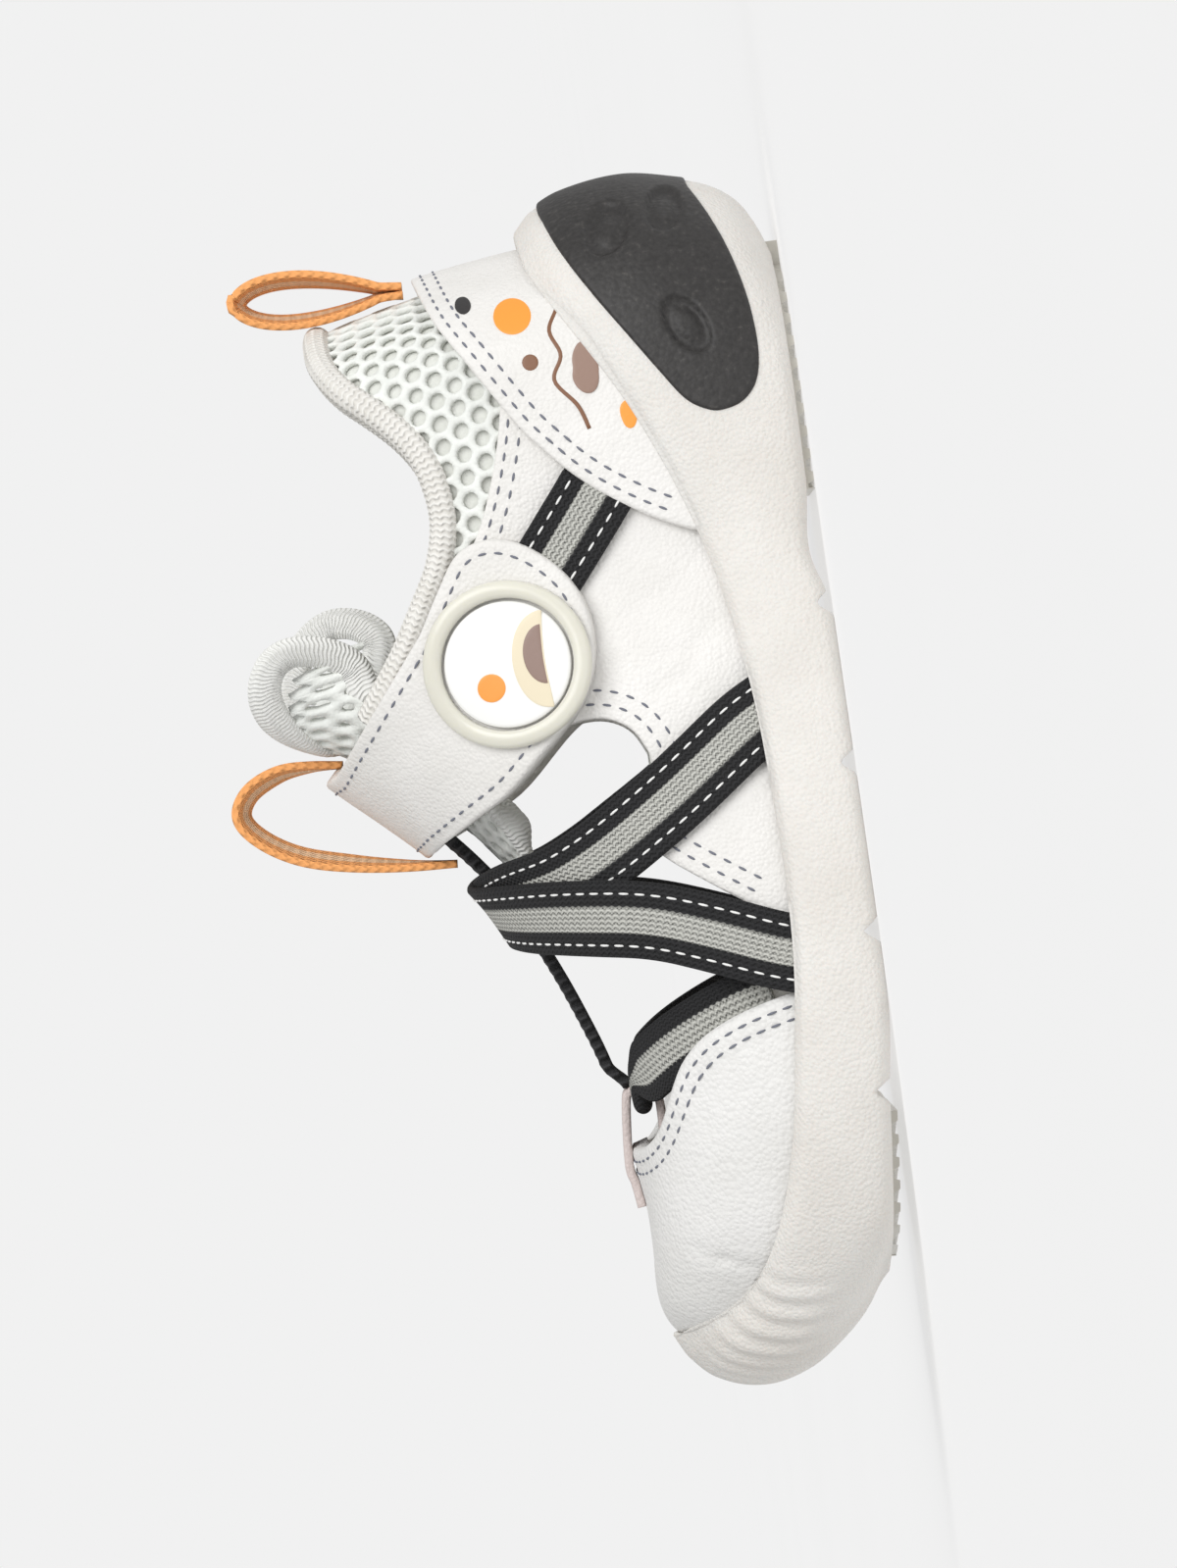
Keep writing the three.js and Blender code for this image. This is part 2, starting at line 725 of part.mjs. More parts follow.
// Band sewn inside the front edge of the toe leather on both sides; it passes rolled through the tab
function makeTuckedWebbing() {
  const outer = -leatherWall - gap;
  const path = sharedPoints(TUCKED_BAND, instepHeight);
  const block = sideBlock(bandOutline(path, frontWebbingWidth));
  const eye = tabEye();
  const clear = tabWidth / 2 + gap;
  const slot = planBlock(rectangle(0, length, eye.y - clear, eye.y + clear), 0, clearHeight);
  const legs = shellBetween(outer - webbingThickness, outer).intersect(block).subtract(slot);
  const reach = clear + coreReach;
  const core = sideBlock(circle(eyeOf(eye), coreRadius, 4), eye.y - reach, eye.y + reach);
  return legs.add(core);
}

function eyeOf(eye) {
  return new THREE.Vector2(eye.x, eye.z);
}

const elasticFront = 0.737 * length;

function makeElastic() {
  const line = [];
  const steps = 6;
  for (let i = 0; i <= steps; i += 1) {
    const x = 0.475 * length + (elasticFront - 0.475 * length) * i / steps;
    line.push(new THREE.Vector2(x, ridgePoint(x, 0).y));
  }
  return shellBetween(-elasticThickness, 0).intersect(
    planBlock(bandOutline(line, elasticWidth), 0, clearHeight),
  );
}

// Folded leather tab sewn on the toe leather; its eye holds the rolled band
function makeVampLoop() {
  const rest = (share) => {
    const point = ridgePoint(share * length, 2.6 * gap + tabThickness / 2);
    return new THREE.Vector2(point.x, point.z + springAt(point.x));
  };
  const eye = tabEye();
  const radius = coreRadius + gap + tabThickness / 2;
  const centres = [rest(0.84), rest(0.82), rest(0.803)];
  const turns = [100, 140, 180, 220, 270];
  turns.forEach((degrees) => {
    const angle = THREE.MathUtils.degToRad(degrees);
    centres.push(new THREE.Vector2(eye.x + radius * Math.cos(angle), eye.z + radius * Math.sin(angle)));
  });
  centres.push(new THREE.Vector2(eye.x + 2 * radius, eye.z - radius));
  return sideBlock(bandOutline(centres, tabThickness), eye.y - tabWidth / 2, eye.y + tabWidth / 2);
}

function makeInsole() {
  const layer = -leatherWall - gap;
  const level = (lift) => loopOf((place, side) => formPoint(place, side, 0, layer, lift));
  return stackedSolid([level(gap), level(gap + insoleThickness)]);
}

// Height of the last's skin over a place seen from above
function skinHeight(x, y, layer) {
  const side = y >= 0 ? 1 : -1;
  let low = 0;
  let high = lastRow;
  let point = null;
  for (let turn = 0; turn < 24; turn += 1) {
    const place = (low + high) / 2;
    let flat = 0;
    let steep = 1;
    for (let step = 0; step < 20; step += 1) {
      const climb = (flat + steep) / 2;
      point = formPoint(place, side, climb, layer);
      if (Math.abs(point.y) > Math.abs(y)) flat = climb;
      else steep = climb;
    }
    if (point.x < x) low = place;
    else high = place;
  }
  return point.z;
}

// Closed solid of even thickness over a grid of points
function sheetSolid(grid, thickness) {
  const rows = grid.length;
  const columns = grid[0].length;
  const clampRow = (i) => grid[THREE.MathUtils.clamp(i, 0, rows - 1)];
  const pick = (i, j) => clampRow(i)[THREE.MathUtils.clamp(j, 0, columns - 1)];
  const points = [[], []];
  for (let i = 0; i < rows; i += 1) {
    for (let j = 0; j < columns; j += 1) {
      const down = pick(i + 1, j).clone().sub(pick(i - 1, j));
      const across = pick(i, j + 1).clone().sub(pick(i, j - 1));
      const normal = down.cross(across).normalize().multiplyScalar(thickness / 2);
      points[0].push(grid[i][j].clone().add(normal));
      points[1].push(grid[i][j].clone().sub(normal));
    }
  }
  const count = rows * columns;
  const faces = [];
  const quad = (a, b, c, d) => faces.push(a, b, c, a, c, d);
  for (let i = 0; i < rows - 1; i += 1) {
    for (let j = 0; j < columns - 1; j += 1) {
      const a = i * columns + j;
      quad(a, a + columns, a + columns + 1, a + 1);
      quad(count + a, count + a + 1, count + a + columns + 1, count + a + columns);
    }
  }
  for (let j = 0; j < columns - 1; j += 1) {
    const end = (rows - 1) * columns + j;
    quad(j, j + 1, count + j + 1, count + j);
    quad(end, count + end, count + end + 1, end + 1);
  }
  for (let i = 0; i < rows - 1; i += 1) {
    const a = i * columns;
    const b = a + columns - 1;
    quad(a, count + a, count + a + columns, a + columns);
    quad(b, b + columns, count + b + columns, count + b);
  }
  return solidOf(geometryFrom([...points[0], ...points[1]], faces));
}

// Tongue: it lies under the strap along the instep and opens into two rounded ears above the collar
function makeTongue() {
  const across = [-1, -0.85, -0.68, -0.5, -0.32, -0.14, 0, 0.14, 0.32, 0.5, 0.68, 0.85, 1];
  const layer = -leatherWall - 3 * gap - tongueThickness / 2;
  const key = TONGUE.map((row) => across.map((c) => {
    const turn = Math.abs(c) * Math.PI / 2;
    const share = Math.cos(turn);
    const edge = (c > 0 ? row.edge : row.inner) * length;
    const x = edge + (row.centre * length - edge) * share;
    const y = Math.sign(c) * row.half * ballWidth * Math.sin(turn);
    if (row.up === undefined) {
      const centre = ridgePoint(row.centre * length, 0).y;
      return new THREE.Vector3(x, y + centre, skinHeight(x, y + centre, layer));
    }
    const edgeZ = (c > 0 ? row.edgeUp : row.innerUp) * instepHeight;
    const lobe = row.lobe * instepHeight * 2 * Math.sqrt(share * (1 - share));
    return new THREE.Vector3(x, y, edgeZ + (row.up * instepHeight - edgeZ) * share + lobe);
  }));
  const rowsBetween = 2;
  const grid = [];
  for (let i = 0; i <= (key.length - 1) * rowsBetween; i += 1) {
    grid.push(across.map((c, j) => {
      const curve = new THREE.CatmullRomCurve3(key.map((row) => row[j]));
      return curve.getPoint(i / ((key.length - 1) * rowsBetween));
    }));
  }
  return sheetSolid(grid, tongueThickness);
}

// Middle line of the padded binding, from the outer end over the heel to the inner end
function rollPath() {
  const top = outlinePoints(TOPLINE.slice(1), collarHeight);
  const heightAt = (x) => {
    const line = top.slice(0, -1);
    const clamped = THREE.MathUtils.clamp(x, line[0].x, line[line.length - 1].x);
    const index = Math.max(line.findIndex((point) => point.x >= clamped), 1);
    const f = (clamped - line[index - 1].x) / (line[index].x - line[index - 1].x);
    return line[index - 1].y + (line[index].y - line[index - 1].y) * f;
  };
  const layer = -leatherWall / 2;
  const onTop = (place, side) => {
    let low = 0;
    let high = 1;
    let point = null;
    for (let turn = 0; turn < 30; turn += 1) {
      const climb = (low + high) / 2;
      point = formPoint(place, side, climb, layer);
      if (point.z < heightAt(point.x) + gap + rollWidth / 2) low = climb;
      else high = climb;
    }
    return point;
  };
  const lastPlace = 6.15;
  const steps = 15;
  const path = [];
  for (let i = steps; i > -steps; i -= 1) {
    path.push(onTop(Math.abs(i) / steps * lastPlace, Math.sign(i) || 1));
  }
  path.push(onTop(lastPlace, -1));
  return new THREE.CatmullRomCurve3(path);
}

function rollSolid(radius) {
  const section = new THREE.Shape().absarc(0, 0, radius, 0, 2 * Math.PI);
  const points = section.getPoints(4).slice(0, -1);
  return solidOf(new THREE.ExtrudeGeometry(new THREE.Shape(points), {
    steps: 36,
    bevelEnabled: false,
    extrudePath: rollPath(),
  }));
}

// Ribbon sewn to a drop shape that stands on the overlay's top edge at the back
function makeHeelLoop() {
  const back = formPoint(0, 1, 0.32, gap + overlayThickness / 2);
  const base = new THREE.Vector2(back.x + gap, OVERLAY[0].up * collarHeight + gap);
  const drop = (low, high, width, least) => {
    const points = [];
    const steps = 20;
    for (let i = 0; i <= steps; i += 1) {
      const angle = 2 * Math.PI * i / steps;
      const z = low + (high - low) * (1 - Math.cos(angle)) / 2;
      const side = i < steps / 2 ? 1 : -1;
      const out = width * 0.65 * Math.abs(Math.sin(angle) * Math.sin(angle / 2));
      points.push(new THREE.Vector2(base.x + side * Math.max(out, least) + z * heelLoopLean, base.y + z));
    }
    return points;
  };
  const outer = drop(0, heelLoopHeight, heelLoopWidth, 0.9 * ribbonThickness);
  const inner = drop(5, heelLoopHeight - ribbonThickness, heelLoopWidth - 2 * ribbonThickness, 0.2);
  const body = sideBlock(outer, -ribbonWidth / 2, ribbonWidth / 2);
  return body.subtract(sideBlock(inner, -ribbonWidth, ribbonWidth));
}

function makeTongueLoop() {
  const centres = sharedPoints(TONGUE_LOOP, instepHeight);
  return sideBlock(bandOutline(centres, ribbonThickness), -ribbonWidth / 2, ribbonWidth / 2);
}

const badgeCentre = new THREE.Vector2(0.387 * length, 0.663 * instepHeight);

function makeBadgeRing() {
  const layer = 2 * gap + strapThickness;
  const outer = sideBlock(circle(badgeCentre, badgeRadius, 7), 0, ballWidth);
  const inner = sideBlock(circle(badgeCentre, badgeRadius - ringWidth, 7), 0, ballWidth);
  return shellBetween(layer, layer + ringHeight).intersect(outer.subtract(inner));
}

function makeBadgeDisc() {
  const layer = 2 * gap + strapThickness;
  const block = sideBlock(circle(badgeCentre, badgeRadius - ringWidth - gap, 7), 0, ballWidth);
  return shellBetween(layer, layer + discHeight).intersect(block);
}

function insertOutline(grow) {
  const outline = outlinePoints(INSERT, cupHeight);
  return grow ? grownOutline(outline, grow) : outline;
}

function makeInsert() {
  const skin = soleForm(insertProud).subtract(soleForm(-insertThickness));
  return skin.intersect(sideBlock(insertOutline(0)));
}

// Tread plate under the sole between two places along the shoe
function treadPlate(from, to, grow) {
  const level = (rise) => loopOf((place, side) => {
    const outlineX = length * sectionValue(place, 'along');
    const heelShare = 1 - THREE.MathUtils.smoothstep(outlineX, 0.01 * length, 0.19 * length);
    const toeShare = THREE.MathUtils.smoothstep(outlineX, 0.87 * length, length);
    const edge = SIDE[0].flank + (SIDE[0].heel - SIDE[0].flank) * heelShare
      + (SIDE[0].toe - SIDE[0].flank) * toeShare;
    const point = planPoint(place, side, edge + treadInset - grow);
    return new THREE.Vector3(point.x, point.y, springAt(point.x) + rise);
  });
  const low = grow ? -treadThickness : 0;
  const plate = stackedSolid([level(low), level(treadThickness + grow)]);
  return plate.intersect(sideBlock(rectangle(from - grow, to + grow, -cupHeight, cupHeight)));
}

const heelTread = { from: 0.07 * length, to: 0.28 * length };
const toeTread = { from: 0.787 * length, to: 0.927 * length };
const notchPlaces = [0.373, 0.503, 0.64, 0.77];

function makeMidsole() {
  const cavity = lastForm(gap, 0).add(
    lastForm(2 * gap + overlayThickness, 0).intersect(sideBlock(overlayOutline(gap))),
  ).add(
    lastForm(2 * gap + webbingThickness, 0).intersect(crossBlock(gap)).intersect(aboveTuck(tuck + gap)),
  );
  const recess = soleForm(insertThickness).subtract(soleForm(-insertThickness - gap))
    .intersect(sideBlock(insertOutline(gap)));
  const treads = treadPlate(heelTread.from, heelTread.to, gap)
    .add(treadPlate(toeTread.from, toeTread.to, gap));
  let sole = soleForm(0).subtract(cavity).subtract(recess).subtract(treads);
  notchPlaces.forEach((place) => {
    const x = place * length;
    const low = undersideHeight(x) + springAt(x);
    const notch = [
      new THREE.Vector2(x - notchWidth / 2, low - 1),
      new THREE.Vector2(x + notchWidth / 2, low - 1),
      new THREE.Vector2(x, low + notchDepth),
    ];
    sole = sole.subtract(sideBlock(notch));
  });
  return sole;
}

function material(color, roughness) {
  return new THREE.MeshStandardMaterial({ color, roughness, metalness: 0 });
}

const foam = material(0xe6e1da, 0.75);
const rubber = material(0xdad8cf, 0.5);
const charcoal = material(0x3c3a38, 0.6);
const leather = material(0xecebe8, 0.55);
const lining = material(0xd8d2c6, 0.9);
const knit = material(0xd9d5cc, 0.9);
const mesh = material(0xe1e4de, 0.8);
const webbing = material(0x2a2a2a, 0.85);
const ribbon = material(0xffaa5f, 0.7);
const softPlastic = material(0xd4d2c6, 0.35);
const clearPlastic = material(0xf7f7f5, 0.3);

const group = new THREE.Group();

function addPiece(name, solid, finish) {
  const result = solid.getMesh();
  const geometry = new THREE.BufferGeometry();
  geometry.setAttribute('position', new THREE.BufferAttribute(new Float32Array(result.vertProperties), 3));
  geometry.setIndex(new THREE.BufferAttribute(new Uint32Array(result.triVerts), 1));
  geometry.computeVertexNormals();
  const piece = new THREE.Mesh(geometry, finish);
  piece.name = name;
  group.add(piece);
}

const rollEnd = 0.424 * length;
const roll = rollSolid(rollWidth / 2)
  .intersect(planBlock(rectangle(-length, rollEnd, -ballWidth, ballWidth), 0, clearHeight));
const rollRoom = rollSolid(rollWidth / 2 + gap);

addPiece('midsole', makeMidsole(), foam);
addPiece('heel_tread', treadPlate(heelTread.from, heelTread.to, 0), rubber);
addPiece('forefoot_tread', treadPlate(toeTread.from, toeTread.to, 0), rubber);
addPiece('heel_insert', makeInsert(), charcoal);
addPiece('insole', makeInsole(), lining);
addPiece('upper', makeUpper().subtract(rollRoom), leather);
addPiece('heel_overlay', makeOverlay(), leather);
addPiece('collar_roll', roll, knit);
addPiece('tongue', makeTongue().subtract(rollRoom), mesh);
addPiece('strap', makeStrap(rollRoom), leather);
addPiece('badge_ring', makeBadgeRing(), softPlastic);
addPiece('badge_disc', makeBadgeDisc(), clearPlastic);
addPiece('quarter_webbing_lateral', makeQuarterWebbing(1), webbing);
addPiece('quarter_webbing_medial', makeQuarterWebbing(-1), webbing);
addPiece('cross_webbing', makeCrossWebbing(), webbing);
addPiece('tucked_webbing', makeTuckedWebbing(), webbing);
addPiece('centre_elastic', makeElastic(), webbing);
addPiece('vamp_loop', makeVampLoop(), leather);
addPiece('heel_loop', makeHeelLoop(), ribbon);
addPiece('tongue_loop', makeTongueLoop(), ribbon);

// The origin lies under the middle of the shoe, on the plane that it stands on
const bounds = new THREE.Box3().setFromObject(group);
const middle = bounds.getCenter(new THREE.Vector3());
group.position.set(-middle.x, -middle.y, -bounds.min.z);

export default group;
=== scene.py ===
"""Looks of the closed-toe baby sandal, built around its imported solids.

Sizes are millimetres in the shoe's own frame (X from heel to toe, +Y the outer side, +Z up), the
same as the solids', and turn into metres in the row's frame when a mesh is made.
"""
import math

import bmesh
import bpy
import numpy as np
from mathutils import Matrix, Vector
from mathutils.geometry import delaunay_2d_cdt


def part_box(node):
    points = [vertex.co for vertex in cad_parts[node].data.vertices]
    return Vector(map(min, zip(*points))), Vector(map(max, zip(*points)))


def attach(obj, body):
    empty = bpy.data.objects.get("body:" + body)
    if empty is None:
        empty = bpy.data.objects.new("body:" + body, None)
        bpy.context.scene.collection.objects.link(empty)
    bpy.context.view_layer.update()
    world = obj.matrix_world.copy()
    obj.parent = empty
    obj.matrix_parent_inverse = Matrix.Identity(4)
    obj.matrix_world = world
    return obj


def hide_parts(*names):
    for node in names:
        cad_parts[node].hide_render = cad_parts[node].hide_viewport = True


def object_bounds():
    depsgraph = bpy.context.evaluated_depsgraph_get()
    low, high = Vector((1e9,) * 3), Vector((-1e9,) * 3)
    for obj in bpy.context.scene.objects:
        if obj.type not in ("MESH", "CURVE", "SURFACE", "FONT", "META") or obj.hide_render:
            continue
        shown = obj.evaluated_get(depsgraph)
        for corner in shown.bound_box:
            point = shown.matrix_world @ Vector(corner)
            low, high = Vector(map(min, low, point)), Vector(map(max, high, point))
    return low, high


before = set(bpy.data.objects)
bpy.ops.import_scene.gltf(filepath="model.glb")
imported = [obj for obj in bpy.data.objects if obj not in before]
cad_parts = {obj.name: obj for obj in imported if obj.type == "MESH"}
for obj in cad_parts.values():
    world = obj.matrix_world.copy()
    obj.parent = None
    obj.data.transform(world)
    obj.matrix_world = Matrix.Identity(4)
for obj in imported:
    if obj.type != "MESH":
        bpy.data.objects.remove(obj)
cad_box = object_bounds()

# Driving sizes, as in the solids
LENGTH = 150.0
BALL_WIDTH = 67.0
INSTEP_HEIGHT = 60.0
TOE_HEIGHT = 30.2
COLLAR_HEIGHT = 60.0
CUP_HEIGHT = 32.0
TOE_SPRING = 5.0
HEEL_BED = 10.5
BALL_BED = 7.2
SIDE_RIM = 3.3
HEEL_RIM = 8.0
TOE_RIM = 4.5
HALF_BALL = BALL_WIDTH / 2

# Layers, counted outward from the outer face of the leather
GAP = 0.3
LEATHER_WALL = 2.2
MESH_STEP = 0.6
OVERLAY_THICKNESS = 1.4
STRAP_THICKNESS = 2.4
WEBBING_THICKNESS = 1.1
ELASTIC_THICKNESS = 1.4
TONGUE_THICKNESS = 1.6
INSOLE_THICKNESS = 2.4
INSERT_PROUD = 0.3
RIBBON_THICKNESS = 1.0
TAB_THICKNESS = 1.1

WEBBING_WIDTH = 9.4
FRONT_WEBBING_WIDTH = 8.0
ELASTIC_WIDTH = 9.0
RIBBON_WIDTH = 5.0
TAB_WIDTH = 11.0
ROLL_WIDTH = 3.4
BADGE_RADIUS = 10.2
RING_WIDTH = 2.2
THROAT_WIDTH = 17.0
CORE_RADIUS = 1.2

ARCH_RISE = 1.8
TREAD_PROUD = 1.0
TREAD_THICKNESS = 2.4
TREAD_INSET = 1.6
NOTCH_DEPTH = 2.0
NOTCH_WIDTH = 4.4
NOTCH_PLACES = (0.373, 0.503, 0.64, 0.77)
TIP_INSET = 0.2


def columns(names, rows):
    """Table with named columns, one array for each."""
    return dict(zip(names.split(), np.array(rows, float).T))


SECTIONS = columns("along lateral medial top ridge round", [
    (0, 0, 0, 1, 0.227, 2.2),
    (0.015, 0.284, 0.284, 0.99, 0.23, 2.2),
    (0.053, 0.522, 0.522, 0.96, 0.24, 2.2),
    (0.113, 0.672, 0.663, 0.85, 0.257, 2.2),
    (0.2, 0.746, 0.731, 0.637, 0.287, 2.2),
    (0.307, 0.782, 0.734, 0.453, 0.347, 2.1),
    (0.413, 0.872, 0.794, 0.356, 0.427, 2),
    (0.52, 0.961, 0.901, 0.325, 0.523, 2),
    (0.627, 1, 0.961, 0.325, 0.627, 2.2),
    (0.727, 0.985, 0.967, 0.366, 0.717, 2.3),
    (0.813, 0.901, 0.934, 0.406, 0.78, 2.5),
    (0.887, 0.755, 0.845, 0.475, 0.82, 2.8),
    (0.94, 0.552, 0.693, 0.58, 0.84, 3.3),
    (0.98, 0.284, 0.463, 0.766, 0.851, 3.8),
    (1, -0.09, 0.09, 0.86, 0.853, 4),
])
RIDGE = columns("along rise across", [
    (0.227, 1.67, 0), (0.257, 1.69, 0), (0.287, 1.73, 0), (0.32, 1.77, 0),
    (0.36, 1.65, 0.003), (0.4, 1.42, 0.006), (0.44, 1.15, 0.008), (0.467, 1, 0.01),
    (0.493, 0.856, 0.011), (0.52, 0.715, 0.012), (0.547, 0.597, 0.011), (0.573, 0.503, 0.01),
    (0.6, 0.43, 0.008), (0.64, 0.336, 0.004), (0.68, 0.255, 0), (0.72, 0.181, -0.006),
    (0.767, 0.114, -0.014), (0.813, 0.047, -0.022), (0.853, 0, -0.03),
])
SIDE = columns("share flank heel toe", [
    (0, 3, 12, 11.5), (0.04, 1.7, 8.5, 10.2), (0.1, 0.9, 5.2, 7.2), (0.2, 0.4, 2.8, 4.2),
    (0.34, 0.1, 1.3, 1.6), (0.55, 0, 0.1, 0.2), (0.8, 0.3, 1.1, 1.7), (0.93, 0.8, 3, 4.4),
    (1, 1.9, 5.2, 7),
])
UNDERSIDE = columns("along up", [
    (0, TREAD_PROUD / ARCH_RISE), (0.27, TREAD_PROUD / ARCH_RISE), (0.33, 1), (0.38, 0),
    (0.7, 0), (0.78, 0.45), (1, 0.45),
])
LAST_ROW = len(SECTIONS["along"]) - 1

# Outlines from the side: share of the length, share of a height, and 1 where a corner starts
TOPLINE = [
    (0.092, 0.925, 1), (0.107, 0.933, 0), (0.127, 0.925, 0), (0.147, 0.892, 0), (0.165, 0.842, 0),
    (0.187, 0.787, 0), (0.213, 0.745, 0), (0.24, 0.727, 0), (0.267, 0.724, 0), (0.3, 0.745, 0),
    (0.333, 0.79, 0), (0.367, 0.84, 0), (0.4, 0.9, 0), (0.44, 0.975, 0), (0.473, 1.04, 1),
]
QUARTER_FRONT = [
    (0.479, 0.9, 1), (0.475, 0.76, 0), (0.46, 0.65, 0), (0.443, 0.575, 0), (0.44, 0.5, 0),
    (0.452, 0.44, 0), (0.475, 0.408, 1), (0.505, 0.407, 1), (0.525, 0.442, 0), (0.543, 0.44, 0),
    (0.56, 0.405, 0), (0.583, 0.33, 0), (0.61, 0.235, 1), (0.635, 0.1, 1),
]
MESH_SEAM = [
    (0.13, 0.6, 1), (0.18, 0.613, 0), (0.22, 0.637, 0), (0.26, 0.672, 0), (0.29, 0.712, 0),
    (0.313, 0.775, 1),
]
OVERLAY = [
    (0.06, 0.76, 1), (0.1, 0.725, 0), (0.133, 0.678, 0), (0.167, 0.627, 0), (0.2, 0.575, 0),
    (0.22, 0.533, 0), (0.24, 0.488, 0), (0.26, 0.43, 0), (0.28, 0.355, 0), (0.293, 0.293, 0),
    (0.305, 0.22, 1),
]
STRAP = [
    (0.592, 1.06, 1), (0.527, 0.86, 1), (0.507, 0.775, 0), (0.489, 0.7, 0), (0.465, 0.633, 0),
    (0.443, 0.575, 0), (0.42, 0.525, 0), (0.39, 0.495, 0), (0.355, 0.492, 0), (0.322, 0.525, 0),
    (0.295, 0.595, 0), (0.284, 0.67, 0), (0.292, 0.74, 0), (0.32, 0.79, 0), (0.353, 0.838, 1),
    (0.463, 1.06, 1),
]
STRAP_INNER = [
    (0.592, 1.06, 1), (0.527, 0.86, 1), (0.493, 0.7, 0), (0.443, 0.56, 0), (0.42, 0.44, 1),
    (0.3, 0.47, 1), (0.31, 0.64, 0), (0.353, 0.838, 1), (0.463, 1.06, 1),
]
# The toe leather's edge counts in toe heights and rises with the toe spring
VAMP = [
    (0.673, 0, 1), (0.68, 0.36, 1), (0.692, 0.6, 0), (0.71, 0.78, 0), (0.735, 0.885, 0),
    (0.765, 0.935, 0), (0.785, 0.985, 1), (0.793, 1.04, 1),
]
# The dark heel piece counts in cup heights
INSERT = [
    (0.023, 0.9, 1), (0.053, 0.85, 0), (0.08, 0.787, 0), (0.107, 0.712, 0), (0.133, 0.634, 0),
    (0.167, 0.531, 0), (0.193, 0.447, 0), (0.204, 0.375, 0), (0.207, 0.312, 0),
    (0.202, 0.228, 0), (0.187, 0.166, 0), (0.16, 0.141, 0), (0.12, 0.153, 0), (0.08, 0.194, 0),
    (0.047, 0.25, 0), (0.017, 0.319, 1),
]
QUARTER_BAND = [(0.245, 0.42), (0.26, 0.444), (0.313, 0.55), (0.345, 0.62)]
REAR_LEG = [
    (0.452, 0.15), (0.462, 0.2), (0.485, 0.278), (0.513, 0.375), (0.549, 0.517), (0.5685, 0.62),
]
FRONT_LEG = [
    (0.652, 0.155), (0.645, 0.21), (0.627, 0.315), (0.607, 0.45), (0.597, 0.58), (0.593, 0.64),
]
TUCKED_BAND = [(0.681, 0.24), (0.69, 0.333), (0.717, 0.483), (0.757, 0.62)]
TONGUE = columns("centre edge inner half up edge_up inner_up lobe", [
    (0.6, 0.595, 0.595, 0.12, 0, 0, 0, 0),
    (0.56, 0.553, 0.553, 0.155, 0, 0, 0, 0),
    (0.52, 0.505, 0.505, 0.18, 0, 0, 0, 0),
    (0.485, 0.455, 0.45, 0.19, 0, 0, 0, 0),
    (0.462, 0.41, 0.4, 0.18, 0, 0, 0, 0),
    (0.437, 0.365, 0.35, 0.17, 1.02, 0.96, 0.9, 0.06),
    (0.428, 0.33, 0.305, 0.225, 1.07, 1.03, 0.93, 0.14),
])
TONGUE_LOOP = [
    (0.448, 1.033), (0.446, 1.1), (0.4485, 1.167), (0.461, 1.23), (0.48, 1.253), (0.5, 1.217),
    (0.518, 1.142), (0.53, 1.033), (0.538, 0.92), (0.5415, 0.828),
]


def smoothstep(x, low, high):
    f = np.clip((np.asarray(x, float) - low) / (high - low), 0, 1)
    return f * f * (3 - 2 * f)


def table_value(table, place, column, key="along"):
    """Smooth value of a column at a place between the rows of a table."""
    keys, values = table[key], table[column]
    place = np.clip(place, keys[0], keys[-1])
    after = np.clip(np.searchsorted(keys, place, side="left"), 1, len(keys) - 1)
    before = after - 1
    span = keys[after] - keys[before]
    f = (place - keys[before]) / span

    def slope(i):
        low = np.maximum(i - 1, 0)
        high = np.minimum(i + 1, len(keys) - 1)
        return (values[high] - values[low]) / (keys[high] - keys[low]) * span

    start, end, leave, arrive = values[before], values[after], slope(before), slope(after)
    cubic = (2 * start - 2 * end + leave + arrive) * f ** 3
    return cubic + (3 * end - 3 * start - 2 * leave - arrive) * f * f + leave * f + start


def section_value(place, column):
    """Value at a place counted in section rows; past heel or toe it comes back on the other side."""
    start = np.floor(place).astype(int)
    f = place - start
    twin = {"lateral": "medial", "medial": "lateral"}.get(column)

    def row(index):
        inside = np.abs(index)
        inside = np.where(inside > LAST_ROW, 2 * LAST_ROW - inside, inside)
        own = SECTIONS[column][inside]
        return np.where(inside == index, own, -SECTIONS[twin][inside]) if twin else own

    a, b, c, d = (row(start + k) for k in (-1, 0, 1, 2))
    return 0.5 * (2 * b + (c - a) * f + (2 * a - 5 * b + 4 * c - d) * f * f
                  + (3 * b - a - 3 * c + d) * f ** 3)


def spring_at(x):
    start = 0.65 * LENGTH
    return TOE_SPRING * (np.clip(x - start, 0, None) / (LENGTH - start)) ** 2


def bed_height(x):
    return HEEL_BED + (BALL_BED - HEEL_BED) * smoothstep(x, 0.2 * LENGTH, 0.6 * LENGTH)


def underside_height(x):
    return ARCH_RISE * np.maximum(table_value(UNDERSIDE, x / LENGTH, "up"), 0)


def rim_width(x):
    heel = 1 - smoothstep(x, 0, 0.14 * LENGTH)
    toe = smoothstep(x, 0.86 * LENGTH, LENGTH)
    return SIDE_RIM + (HEEL_RIM - SIDE_RIM) * heel + (TOE_RIM - SIDE_RIM) * toe


def plan_point(place, side, inset):
    """Point of the sole's widest line seen from above, moved inward."""
    def at(where):
        wide = np.where(side > 0, section_value(where, "lateral"), section_value(where, "medial"))
        return LENGTH * section_value(where, "along"), side * HALF_BALL * wide

    step = 0.01
    (x0, y0), (x1, y1), (x, y) = at(place - step), at(place + step), at(place)
    run = np.hypot(x1 - x0, y1 - y0)
    return x + inset * side * (y1 - y0) / run, y - inset * side * (x1 - x0) / run


